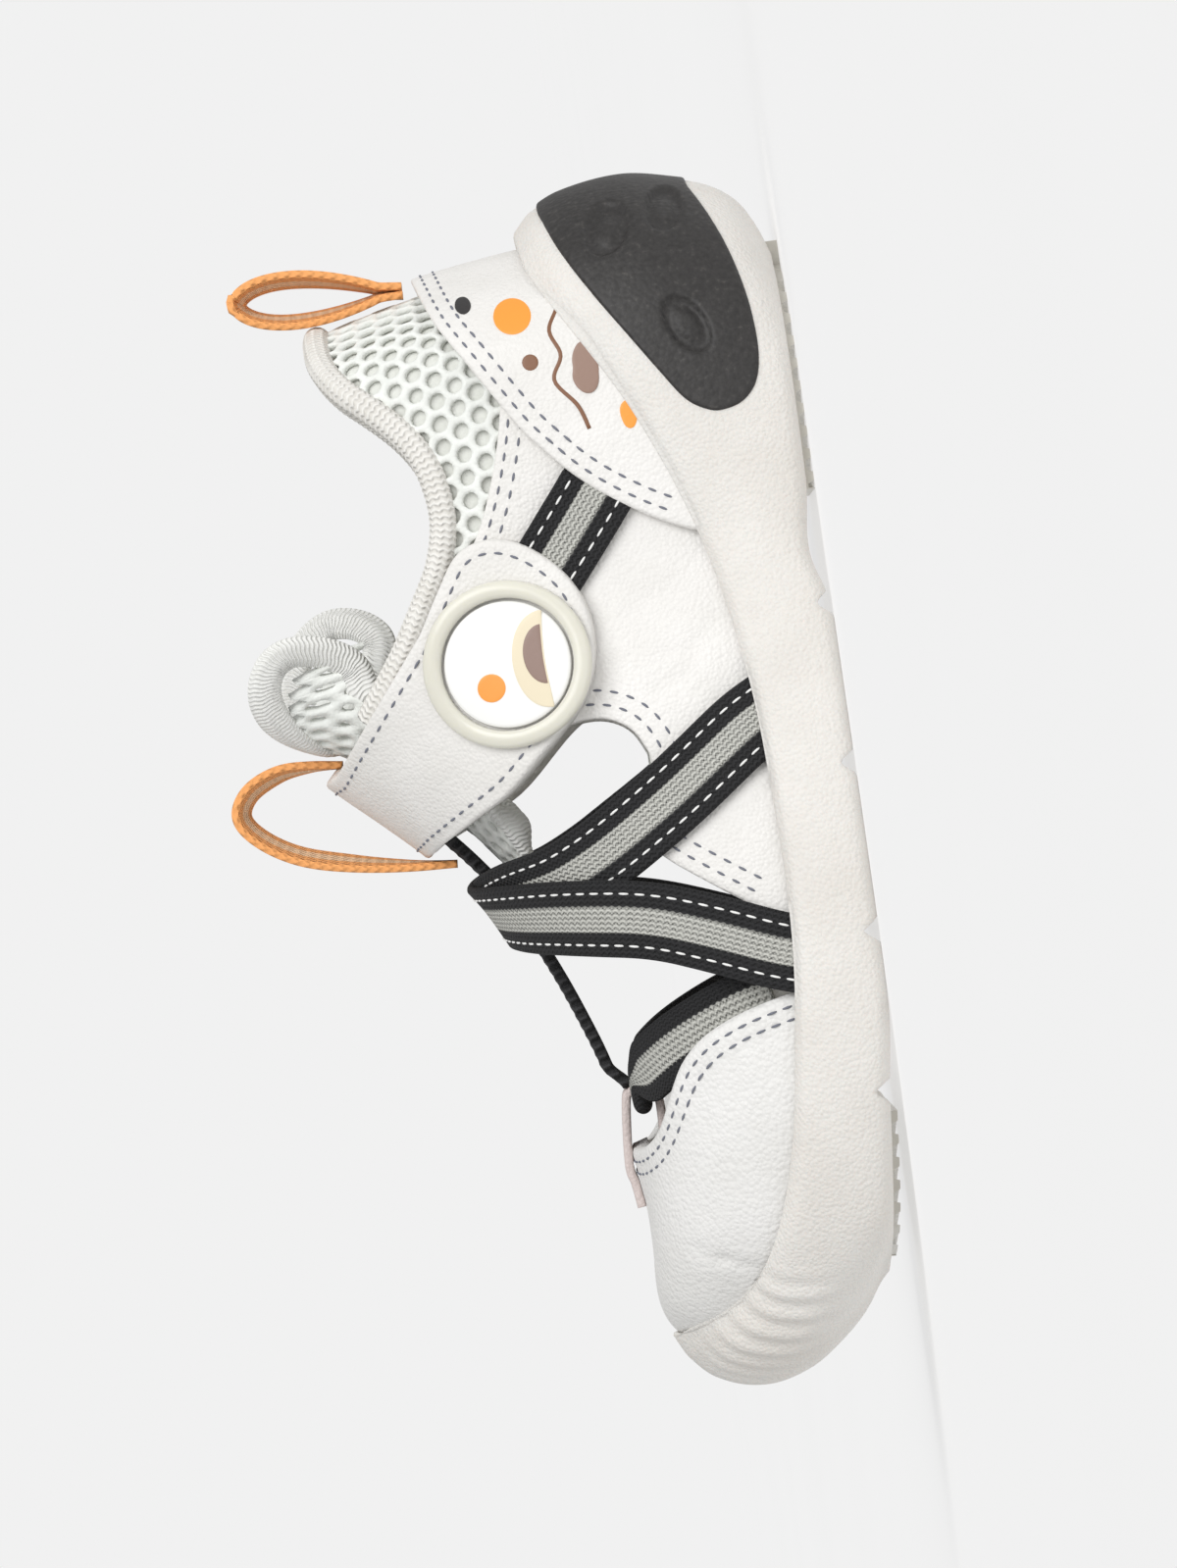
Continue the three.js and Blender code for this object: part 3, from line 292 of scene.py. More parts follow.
def ridge_point(x, layer):
    """Point of the last's centre line, moved out by layer."""
    def height(where):
        rise = table_value(RIDGE, where / LENGTH, "rise")
        return TOE_HEIGHT + (INSTEP_HEIGHT - TOE_HEIGHT) * rise

    slope = height(x + 0.5) - height(x - 0.5)
    steep = np.hypot(1, slope)
    across = BALL_WIDTH * table_value(RIDGE, x / LENGTH, "across")
    return x - layer * slope / steep, across, height(x) + layer / steep


def form(place, side, climb, layer, lift=0.0):
    """Point of the last's skin at a section place, a climb from sole (0) to ridge (1) and a layer."""
    place, side, climb, layer = np.broadcast_arrays(*(np.asarray(v, float)
                                                      for v in (place, side, climb, layer)))
    rim = rim_width(LENGTH * section_value(place, "along"))
    base_x, base_y = plan_point(place, side, rim - layer)
    ridge_x, ridge_y, ridge_z = ridge_point(LENGTH * section_value(place, "ridge"), layer)
    power = 2 / section_value(place, "round")
    angle = np.clip(climb, 0, 1) * math.pi / 2
    inward = 1 - np.clip(np.cos(angle), 0, 1) ** power
    upward = np.sin(angle) ** power
    bottom = bed_height(base_x) + lift
    x = base_x + (ridge_x - base_x) * inward
    y = base_y + (ridge_y - base_y) * inward
    return np.stack([x, y, bottom + (ridge_z - bottom) * upward + spring_at(x)], -1)


def over(u, w, layer=0.0):
    """Chart across the shoe: w runs from outer edge (0) over the ridge (1) to inner edge (2)."""
    w = np.asarray(w, float)
    return form(u, np.where(w <= 1, 1.0, -1.0), np.where(w <= 1, w, 2 - w), layer)


def around(u, v, layer=0.0):
    """Chart round the heel: u counts rows from the heel, negative on the inner side; v climbs."""
    u = np.asarray(u, float)
    return form(np.abs(u), np.where(u >= 0, 1.0, -1.0), v, layer)


def side_inset(x, share, proud=0.0):
    """How far the sole's side stands in from its widest line."""
    heel = 1 - smoothstep(x, 0.01 * LENGTH, 0.19 * LENGTH)
    toe = smoothstep(x, 0.87 * LENGTH, LENGTH)
    flank = table_value(SIDE, share, "flank", "share")
    at_heel = table_value(SIDE, share, "heel", "share")
    at_toe = table_value(SIDE, share, "toe", "share")
    return flank + (at_heel - flank) * heel + (at_toe - flank) * toe - proud


def sole_side(u, share, proud=0.0):
    """Chart of the sole's side: u counts rows from the heel, negative on the inner side."""
    u, share, proud = np.broadcast_arrays(*(np.asarray(v, float) for v in (u, share, proud)))
    place, side = np.abs(u), np.where(u >= 0, 1.0, -1.0)
    inset = side_inset(LENGTH * section_value(place, "along"), share, proud)
    x, y = plan_point(place, side, inset)
    low = underside_height(x)
    top = CUP_HEIGHT * section_value(place, "top")
    return np.stack([x, y, low + (top - low) * share + spring_at(x)], -1)


def spline(points, per=6):
    """Smooth curve through points, with per samples for each stretch."""
    p = np.asarray(points, float)
    count = len(p)
    t = np.linspace(0, count - 1, (count - 1) * per + 1)
    i = np.minimum(t.astype(int), count - 2)
    f = (t - i)[:, None]
    a, b, c, d = (p[np.clip(i + k, 0, count - 1)] for k in (-1, 0, 1, 2))
    return 0.5 * (2 * b + (c - a) * f + (2 * a - 5 * b + 4 * c - d) * f * f
                  + (3 * b - a - 3 * c + d) * f ** 3)


def side_line(rows, height, sprung=False, per=6):
    """Open outline from the side, in millimetres; rows with a corner start a new smooth stretch."""
    rows = np.array([(r[0] * LENGTH, r[1] * height, r[2] if len(r) > 2 else 0) for r in rows])
    if sprung:
        rows[:, 1] += spring_at(rows[:, 0])
    corners = [0] + [i for i in range(1, len(rows) - 1) if rows[i, 2]] + [len(rows) - 1]
    parts = [spline(rows[a:b + 1, :2], per)[:-1] for a, b in zip(corners, corners[1:])]
    return np.vstack(parts + [rows[-1:, :2]])


def unit(v):
    return v / (np.linalg.norm(v, axis=-1, keepdims=True) + 1e-12)


def run_of(points):
    """Length along a polyline up to each of its points."""
    return np.r_[0, np.cumsum(np.linalg.norm(np.diff(points, axis=0), axis=1))]


def sampled(at, run, points):
    """Points at given lengths along a polyline."""
    return np.stack([np.interp(at, run, column) for column in points.T], -1)


def heading(path, closed=False):
    """Unit directions along a path."""
    if closed:
        return unit(np.roll(path, -1, 0) - np.roll(path, 1, 0))
    return unit(np.gradient(path, axis=0))


def halved(shape, holds, rounds=40):
    """Shares from 0 to 1 up to which a test holds, found by halving."""
    low, high = np.zeros(shape), np.ones(shape)
    for _ in range(rounds):
        share = (low + high) / 2
        below = holds(share)
        low, high = np.where(below, share, low), np.where(below, high, share)
    return (low + high) / 2


def under(points, line):
    """True for points that lie lower than an outline from the side."""
    return points[:, 2] < np.interp(points[:, 0], line[:, 0], line[:, 1])


def smoothed(values, width, closed=False):
    """Values evened out over an odd width; the ends are mirrored, or joined if closed."""
    kernel = np.hanning(width)
    kernel /= kernel.sum()
    n = width // 2
    if closed:
        padded = np.vstack([values[-n:], values, values[:n]])
    else:
        padded = np.vstack([2 * values[0] - values[n:0:-1], values,
                            2 * values[-1] - values[-2:-n - 2:-1]])
    return np.stack([np.convolve(column, kernel, "valid") for column in padded.T], -1)


def evenly(points, step, closed=False):
    """Points at even spacing along a polyline."""
    p = np.asarray(points, float)
    if closed:
        p = np.vstack([p, p[:1]])
    run = run_of(p)
    count = max(int(round(run[-1] / step)), 2)
    out = sampled(np.linspace(0, run[-1], count + 1), run, p)
    return out[:-1] if closed else out


_grids = {}


def locate(points, side, layer=0.0, chart="last"):
    """Chart places of points given from the side as (x, z): rows (u, climb)."""
    points = np.atleast_2d(points)
    surface = (lambda u, v: form(u, side, v, layer)) if chart == "last" else (
        lambda u, v: sole_side(u * side, v, layer))
    key = (side, layer, chart)
    if key not in _grids:
        u, v = np.meshgrid(np.linspace(0.02, LAST_ROW - 0.02, 200), np.linspace(0, 0.995, 60))
        _grids[key] = (u.ravel(), v.ravel(), surface(u, v)[..., [0, 2]].reshape(-1, 2))
    us, vs, flat = _grids[key]
    nearest = np.array([np.argmin(((flat - p) ** 2).sum(1)) for p in points])
    u, v = us[nearest].copy(), vs[nearest].copy()
    e = 1e-3
    for _ in range(12):
        here = surface(u, v)[:, [0, 2]]
        du = (surface(u + e, v)[:, [0, 2]] - surface(u - e, v)[:, [0, 2]]) / (2 * e)
        dv = (surface(u, np.minimum(v + e, 1))[:, [0, 2]] - surface(u, v - e)[:, [0, 2]]) / (2 * e)
        miss = points - here
        det = du[:, 0] * dv[:, 1] - du[:, 1] * dv[:, 0]
        det = np.where(np.abs(det) < 1e-6, 1e-6, det)
        step_u = (miss[:, 0] * dv[:, 1] - miss[:, 1] * dv[:, 0]) / det
        step_v = (miss[:, 1] * du[:, 0] - miss[:, 0] * du[:, 1]) / det
        u = np.clip(u + np.clip(step_u, -0.3, 0.3), 0.001, LAST_ROW - 0.001)
        v = np.clip(v + np.clip(step_v, -0.05, 0.05), 0, 0.998)
    return np.stack([u, v], -1)


def slopes(chart, uv, layer=0.0):
    """Steps of the surface along u and v, and its outward normal."""
    e = 1e-3
    u, v = uv[:, 0], uv[:, 1]
    du = (chart(u + e, v, layer) - chart(u - e, v, layer)) / (2 * e)
    dv = (chart(u, v + e, layer) - chart(u, v - e, layer)) / (2 * e)
    normal = np.cross(dv, du)
    return du, dv, normal / (np.linalg.norm(normal, axis=1, keepdims=True) + 1e-12)


def walk(chart, uv, move, layer=0.0, steps=2):
    """Chart places reached from uv by a move given in millimetres along the surface."""
    uv = np.array(uv, float)
    for _ in range(steps):
        du, dv, _normal = slopes(chart, uv, layer)
        a, b, c = (du * du).sum(1), (du * dv).sum(1), (dv * dv).sum(1)
        p, q = (du * move).sum(1) / steps, (dv * move).sum(1) / steps
        det = a * c - b * b + 1e-9
        uv[:, 0] += (p * c - q * b) / det
        uv[:, 1] += (q * a - p * b) / det
    return uv


def beside(chart, uv, distance, layer=0.0, closed=False):
    """The line that runs at a distance to the left of a line on the surface, seen from outside."""
    xyz = chart(*uv.T, layer)
    normal = slopes(chart, uv, layer)[2]
    return walk(chart, uv, np.cross(normal, heading(xyz, closed)) * distance, layer)


# The frame's own corners give the shift from the shoe's frame to the row's
_sole_low, _sole_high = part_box("midsole")
SHIFT = np.array([
    _sole_high.x * 1000 - (LENGTH - TIP_INSET),
    _sole_high.y * 1000 - HALF_BALL,
    0.0,
])


def make(name, points, faces, finish, uv=None, smooth=True, stands_for=(), wraps=False):
    """Mesh object from points in the shoe's millimetres; wraps closes the uv round a tube."""
    mesh = bpy.data.meshes.new(name)
    mesh.from_pydata(((np.asarray(points) + SHIFT) / 1000).tolist(), [],
                     [tuple(int(i) for i in f) for f in faces])
    turned = bmesh.new()
    turned.from_mesh(mesh)
    bmesh.ops.recalc_face_normals(turned, faces=turned.faces)
    if turned.calc_volume(signed=True) < 0:
        bmesh.ops.reverse_faces(turned, faces=turned.faces)
    turned.to_mesh(mesh)
    turned.free()
    if smooth:
        mesh.shade_smooth()
    if uv is not None:
        layer = mesh.uv_layers.new(name="UVMap")
        loops = np.empty(len(mesh.loops), np.int32)
        mesh.loops.foreach_get("vertex_index", loops)
        places = np.asarray(uv, np.float32)[loops]
        if wraps:
            corners = np.array([list(f.loop_indices) for f in mesh.polygons if f.loop_total == 4])
            turns = places[corners, 1]
            split = (np.ptp(turns, axis=1) > 0.5)[:, None] & (turns < 0.5)
            places[corners, 1] = turns + split
        layer.data.foreach_set("uv", places.ravel())
    obj = bpy.data.objects.new(name, mesh)
    bpy.context.scene.collection.objects.link(obj)
    obj.data.materials.append(finish["material"])
    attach(obj, "root")
    if stands_for:
        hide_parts(*stands_for)
    return obj


def inside_polygon(points, polygon):
    x, y = points[:, 0], points[:, 1]
    inside = np.zeros(len(points), bool)
    for (x0, y0), (x1, y1) in zip(polygon, np.roll(polygon, -1, 0)):
        crosses = (y0 > y) != (y1 > y)
        if crosses.any():
            at = x0 + (y[crosses] - y0) * (x1 - x0) / (y1 - y0)
            hit = np.zeros(len(points), bool)
            hit[np.where(crosses)[0]] = x[crosses] < at
            inside ^= hit
    return inside


def outer_sliver(face, polygon, sense):
    """True for a triangle of three neighbouring corners that lies outside the polygon."""
    count = len(polygon)
    if max(face) >= count:
        return False
    for start in face:
        near = [(start + i) % count for i in range(3)]
        if set(near) == set(face):
            (x0, y0), (x1, y1), (x2, y2) = polygon[near]
            return ((x1 - x0) * (y2 - y1) - (y1 - y0) * (x2 - x1)) * sense <= 0
    return False


def fill(polygon, spacing):
    """Inner points and triangles of a flat polygon whose corners come first."""
    low, high = polygon.min(0), polygon.max(0)
    rows = np.arange(low[1], high[1], spacing * 0.866)
    grid = []
    for k, y in enumerate(rows):
        xs = np.arange(low[0] + (k % 2) * spacing / 2, high[0], spacing)
        grid.append(np.stack([xs, np.full(len(xs), y)], -1))
    grid = np.vstack(grid)
    grid = grid[inside_polygon(grid, polygon)]
    keep = np.ones(len(grid), bool)
    for part in np.array_split(np.arange(len(grid)), max(len(grid) // 2000, 1)):
        gaps = ((grid[part][:, None] - polygon[None]) ** 2).sum(-1).min(1)
        keep[part] = gaps > (0.55 * spacing) ** 2
    grid = grid[keep]
    every = np.vstack([polygon, grid])
    corners = [Vector(p) for p in every.tolist()]
    out = delaunay_2d_cdt(corners, [], [list(range(len(polygon)))], 1, 1e-7, True)
    source = [ids[0] if ids else -1 for ids in out[3]]
    faces = np.array([[source[i] for i in f] for f in out[2] if len(f) == 3])
    faces = faces[(faces >= 0).all(1)]
    middle = every[faces].mean(1)
    faces = faces[inside_polygon(middle, polygon)].tolist()
    sense = area_of(polygon)
    return grid, [f for f in faces if not outer_sliver(f, polygon, sense)]


def area_of(polygon):
    x, y = polygon[:, 0], polygon[:, 1]
    return 0.5 * float((x * np.roll(y, -1) - np.roll(x, -1) * y).sum())


def sheet(name, chart, outline, outer, inner, finish, spacing=0.8, round_edge=0.35, relief=None,
          **more):
    """Thin closed solid on a chart inside an outline, with a rounded outer edge."""
    outline = np.asarray(outline, float)
    du, dv, _normal = slopes(chart, outline, outer)
    scale = np.array([np.linalg.norm(du, axis=1).mean(), np.linalg.norm(dv, axis=1).mean()])
    flat = evenly(outline * scale, spacing, closed=True)
    if area_of(flat) < 0:
        flat = flat[::-1]
    edge = flat / scale
    ring = {}
    for share in (1.0, 0.3):
        ring[share] = beside(chart, edge, -round_edge * share, outer, closed=True)
    grid, faces = fill(ring[1.0] * scale, spacing)
    grid = grid / scale
    count = len(edge)
    top_uv = np.vstack([ring[1.0], grid])
    top = chart(*top_uv.T, outer)
    if relief is not None:
        normal = slopes(chart, top_uv, outer)[2]
        top = top + normal * relief(top)[:, None]
    levels = [
        top,
        chart(*ring[0.3].T, outer - 0.3 * round_edge),
        chart(*edge.T, outer - round_edge),
        chart(np.r_[edge[:, 0], grid[:, 0]], np.r_[edge[:, 1], grid[:, 1]], inner),
    ]
    starts = np.cumsum([0] + [len(level) for level in levels])
    out = [f[::-1] for f in faces]
    out += [[i + starts[3] for i in f] for f in faces]
    for k in range(3):
        for i in range(count):
            j = (i + 1) % count
            out.append((starts[k] + i, starts[k] + j, starts[k + 1] + j, starts[k + 1] + i))
    return make(name, np.vstack(levels), out, finish, **more)


def joined_rings(count, size, closed=False):
    """Faces that join rings of one size one after another."""
    faces = []
    for k in range(count if closed else count - 1):
        a, b = k * size, (k + 1) % count * size
        for i in range(size):
            j = (i + 1) % size
            faces.append((a + i, a + j, b + j, b + i))
    return faces


def ringed(sections, closed=False):
    """Faces of a swept solid, with capped ends unless it is closed."""
    count, size = len(sections), len(sections[0])
    faces = joined_rings(count, size, closed)
    if not closed:
        faces.append(tuple(range(size))[::-1])
        faces.append(tuple((count - 1) * size + j for j in range(size)))
    return faces


def flat_ring(width, thickness, across=8, rounding=0.4):
    """Cross-section of a flat band: offsets across and heights from its middle, as one ring."""
    half, deep = width / 2, thickness / 2
    r = min(rounding, deep)
    top = [(t, deep) for t in np.linspace(-half + r, half - r, across + 1)]
    corner = [(math.cos(a), math.sin(a)) for a in np.linspace(0, math.pi / 2, 4)[1:-1]]
    right = [(half - r + r * s, deep - r + r * c) for c, s in corner]
    right += [(half, deep - r), (half, -deep + r)]
    right += [(half - r + r * c, -deep + r - r * s) for c, s in corner]
    left = [(-t, -z) for t, z in right]
    bottom = [(-t, -z) for t, z in top]
    return np.array(top + right + bottom + left)


# Where thread runs along a band, as shares of its width from the middle
THREAD_PLACES = (-0.335, 0.335)


def band(name, chart, centre, width, layer, thickness, finish, lift=None, across=10, **more):
    """Woven band that follows a centre line on a chart; its uv is (along, across) in millimetres."""
    xyz = chart(*centre.T, layer)
    normal = slopes(chart, centre, layer)[2]
    side = unit(np.cross(normal, heading(xyz)))
    run = run_of(xyz)
    ring = flat_ring(width, thickness, across)
    raise_by = np.zeros(len(centre)) if lift is None else lift(centre)
    sections, uvs = [], []
    for t, z in ring:
        uv = walk(chart, centre, side * t, layer, steps=4)
        p = chart(*uv.T, layer + thickness / 2 + z + raise_by)
        sections.append(p)
        uvs.append(np.stack([run, np.full(len(run), t)], -1))
    points = np.stack(sections, 1)
    uv = np.stack(uvs, 1)
    make(name, points.reshape(-1, 3), ringed(points), finish, uv=uv.reshape(-1, 2), **more)
    rows = []
    for t in THREAD_PLACES:
        at = walk(chart, centre, side * t * width, layer, steps=4)
        rows.append((chart(*at.T, layer + thickness + raise_by), normal))
    return rows


def ribbon(name, path, across, width, thickness, finish, **more):
    """Band swept along a path in space, lying flat along the direction across."""
    path = np.asarray(path, float)
    side = unit(np.broadcast_to(np.asarray(across, float), path.shape))
    normal = unit(np.cross(heading(path), side))
    run = run_of(path)
    ring = flat_ring(width, thickness)
    points = path[:, None] + ring[None, :, :1] * side[:, None] + ring[None, :, 1:] * normal[:, None]
    uv = np.stack(np.broadcast_arrays(run[:, None], ring[None, :, 0]), -1)
    make(name, points.reshape(-1, 3), ringed(points), finish, uv=uv.reshape(-1, 2), **more)


def tube(name, path, radii, finish, sides=12, **more):
    """Round tube along a path; its uv is (along, share of the turn)."""
    tangent = heading(path)
    side = unit(np.cross(tangent, [0.0, 0.0, 1.0]))
    normal = unit(np.cross(side, tangent))
    angle = np.linspace(0, 2 * math.pi, sides, endpoint=False)
    points = path[:, None] + radii[:, None, None] * (
        np.cos(angle)[None, :, None] * side[:, None] + np.sin(angle)[None, :, None] * normal[:, None])
    uv = np.stack(np.broadcast_arrays(run_of(path)[:, None], angle[None] / (2 * math.pi)), -1)
    make(name, points.reshape(-1, 3), [f[::-1] for f in ringed(points)], finish,
         uv=uv.reshape(-1, 2), wraps=True, **more)


def stitches(name, lines, finish, pitch=2.0, long=1.25, thick=0.16, sink=0.1, **more):
    """Rows of thread stitches as one mesh; each line is (points, outward normals)."""
    points, faces = [], []
    sides, rings = 6, 5
    for xyz, normal in lines:
        run = run_of(xyz)
        count = max(int(run[-1] / pitch), 1)
        step = run[-1] / count
        for k in range(count):
            at = (k + 0.5) * step + np.linspace(-0.5, 0.5, rings) * long
            p = sampled(at, run, xyz)
            n = unit(sampled(at, run, normal))
            s = np.cross(n, heading(p))
            bow = 1 - (2 * np.linspace(0, 1, rings) - 1) ** 2
            p = p + n * (bow * (thick * 0.5 + sink) - sink)[:, None]
            r = thick * (0.55 + 0.45 * bow)
            start = len(points)
            for i in range(rings):
                for a in np.arange(sides) * 2 * math.pi / sides:
                    points.append(p[i] + r[i] * (math.cos(a) * s[i] + math.sin(a) * n[i] * 0.8))
            faces += [tuple(start + i for i in f) for f in ringed(np.empty((rings, sides)))]
    make(name, points, faces, finish, **more)


def on_surface(chart, uv, layer):
    """A line on a chart with its outward normals."""
    xyz = chart(*uv.T, layer)
    return xyz, slopes(chart, uv, layer)[2]


def material(name, slot, colour, roughness=0.6, **sockets):
    """Material with its shader; the dictionary also names the record's slot."""
    made = bpy.data.materials.new(name)
    made.use_nodes = True
    tree = made.node_tree
    tree.nodes.clear()
    shader = tree.nodes.new("ShaderNodeBsdfPrincipled")
    out = tree.nodes.new("ShaderNodeOutputMaterial")
    tree.links.new(shader.outputs["BSDF"], out.inputs["Surface"])
    shader.inputs["Base Color"].default_value = (*colour, 1)
    shader.inputs["Roughness"].default_value = roughness
    for socket, value in sockets.items():
        shader.inputs[socket.replace("_", " ")].default_value = value
    return {"material": made, "slot": slot, "tree": tree, "shader": shader}


def linear(red, green, blue):
    """Linear colour of a screen colour from 0 to 255."""
    def one(value):
        value /= 255
        return value / 12.92 if value <= 0.04045 else ((value + 0.055) / 1.055) ** 2.4

    return one(red), one(green), one(blue)


def node(finish, kind, values=(), **settings):
    made = finish["tree"].nodes.new("ShaderNode" + kind)
    for key, value in settings.items():
        setattr(made, key, value)
    for key, value in dict(values).items():
        if hasattr(value, "is_output"):
            finish["tree"].links.new(value, made.inputs[key])
        else:
            made.inputs[key].default_value = value
    return made


def sum_of(finish, operation, a, b=0.0, c=0.0):
    return node(finish, "Math", {0: a, 1: b, 2: c}, operation=operation).outputs[0]


def place_of(finish, kind="Object"):
    return node(finish, "TexCoord").outputs[kind]


def noise_of(finish, size, detail=3.0):
    """Noise with features of one size in millimetres."""
    made = node(finish, "TexNoise", {"Vector": place_of(finish), "Scale": 1000 / size,
                                     "Detail": detail, "Roughness": 0.55})
    return made.outputs["Fac"]


def cells_of(finish, size):
    made = node(finish, "TexVoronoi", {"Vector": place_of(finish), "Scale": 1000 / size})
    return made.outputs["Distance"]


def rough_surface(finish, layers):
    """Bump from heights in millimetres: each layer is (height socket, depth in millimetres)."""
    normal = None
    for height, depth in layers:
        values = {"Height": height, "Strength": 1.0, "Distance": depth / 1000}
        if normal is not None:
            values["Normal"] = normal
        normal = node(finish, "Bump", values).outputs["Normal"]
    finish["tree"].links.new(normal, finish["shader"].inputs["Normal"])


def tint(finish, factor, colours):
    """Colours along a factor from 0 to 1: rows of (place, colour)."""
    ramp = node(finish, "ValToRGB", {"Fac": factor})
    stops = ramp.color_ramp.elements
    while len(stops) < len(colours):
        stops.new(0.5)
    for stop, (at, colour) in zip(stops, colours):
        stop.position = at
        stop.color = (*colour, 1)
    finish["tree"].links.new(ramp.outputs["Color"], finish["shader"].inputs["Base Color"])
    return ramp.outputs["Color"]


def mottled(finish, size, first, second):
    """Two close tones in patches of one size in millimetres."""
    tint(finish, noise_of(finish, size), [(0.3, first), (0.7, second)])


def lets_light_in(finish, weight, radius, scale):
    """Light that spreads a little way inside the material."""
    for word, value in (("Weight", weight), ("Radius", radius), ("Scale", scale)):
        finish["shader"].inputs["Subsurface " + word].default_value = value


def grained(name, colours, slot="leather", roughness=0.5, grain=0.5, depth=0.1, soft=0.06):
    """White leather: fine rounded grain over soft swells."""
    finish = material(name, slot, colours[0], roughness)
    cells = cells_of(finish, grain)
    fine = noise_of(finish, 0.35)
    swell = noise_of(finish, 6.0, 2.0)
    rough_surface(finish, [(swell, soft), (cells, -depth), (fine, depth * 0.4)])
    tint(finish, noise_of(finish, 14.0, 4.0), [(0.35, colours[0]), (0.65, colours[1])])
    shade = node(finish, "MapRange", {"Value": noise_of(finish, 9.0), "From Min": 0.3,
                                      "From Max": 0.7, "To Min": roughness - 0.06,
                                      "To Max": roughness + 0.08})
    finish["tree"].links.new(shade.outputs["Result"], finish["shader"].inputs["Roughness"])
    return finish


WHITE_LEATHER = grained("white_leather", (linear(236, 234, 231), linear(228, 226, 222)))
TOE_LEATHER = grained("toe_leather", (linear(236, 235, 233), linear(229, 228, 225)), grain=0.6,
                      depth=0.13)
TAB_LEATHER = grained("tab_leather", (linear(214, 200, 196), linear(202, 190, 186)))
SOLE_FOAM = grained("sole_foam", (linear(229, 226, 221), linear(222, 218, 212)), "foam", 0.62,
                    grain=0.5, depth=0.13, soft=0.03)
lets_light_in(SOLE_FOAM, 0.12, (0.004, 0.003, 0.0025), 0.5)

CHARCOAL = material("speckled_charcoal", "charcoal", linear(60, 58, 56), 0.55)
tint(CHARCOAL, noise_of(CHARCOAL, 0.7, 4.0), [(0.35, linear(36, 34, 33)), (0.6, linear(48, 46, 45)),
                                               (0.8, linear(74, 71, 68))])
rough_surface(CHARCOAL, [(cells_of(CHARCOAL, 0.7), -0.05), (noise_of(CHARCOAL, 5.0), 0.06)])

TREAD = material("clear_tread", "tread", linear(226, 223, 214), 0.3)
rough_surface(TREAD, [(noise_of(TREAD, 2.5), 0.08)])
mottled(TREAD, 9.0, linear(228, 225, 216), linear(214, 210, 200))
TREAD["shader"].inputs["Transmission Weight"].default_value = 0.25

LINING = material("lining_cloth", "lining", linear(219, 214, 205), 0.9)
rough_surface(LINING, [(cells_of(LINING, 0.6), 0.06)])
mottled(LINING, 5.0, linear(221, 216, 207), linear(208, 203, 193))


def knitted(name, colours, pitch, rows):
    """Knit binding: small loops in rows round a tube; its uv is (along, share of the turn)."""
    finish = material(name, "knit", colours[0], 0.92)
    split = node(finish, "SeparateXYZ", {"Vector": place_of(finish, "UV")})
    turn = sum_of(finish, "MULTIPLY", split.outputs["Y"], rows * 2 * math.pi)
    along = sum_of(finish, "MULTIPLY", split.outputs["X"], 2 * math.pi / pitch)
    loops = sum_of(finish, "SINE", sum_of(finish, "ADD", along, sum_of(finish, "SINE", turn)))
    grain = sum_of(finish, "SINE", turn)
    rough_surface(finish, [(loops, 0.07), (grain, 0.05), (noise_of(finish, 0.3), 0.06)])
    # Painted shade: the colour darkens in the hollows between the loops, following the same loops as
    # the bump, mixed with a random tone from noise; the second colour is the shaded tone.
    shade = sum_of(finish, "ADD", sum_of(finish, "MULTIPLY", loops, 0.3), noise_of(finish, 3.0))
    tint(finish, shade, [(0.1, colours[1]), (0.75, colours[0])])
    return finish


# Each knit's second, darker colour is the painted shade tone of the hollows between its loops.
KNIT = knitted("ribbed_knit", (linear(238, 236, 231), linear(222, 219, 212)), 0.8, 9)
RIM_KNIT = knitted("rim_knit", (linear(242, 242, 239), linear(230, 230, 225)), 0.6, 6)

MESH = material("mesh_net", "mesh", linear(238, 240, 236), 0.8)
rough_surface(MESH, [(cells_of(MESH, 0.4), 0.05), (noise_of(MESH, 0.25), 0.03)])
mottled(MESH, 2.0, linear(240, 242, 238), linear(229, 231, 226))

MESH_BACK = material("mesh_back", "mesh", linear(222, 223, 217), 0.9)
rough_surface(MESH_BACK, [(cells_of(MESH_BACK, 0.4), 0.05)])
mottled(MESH_BACK, 3.0, linear(230, 231, 226), linear(221, 222, 216))


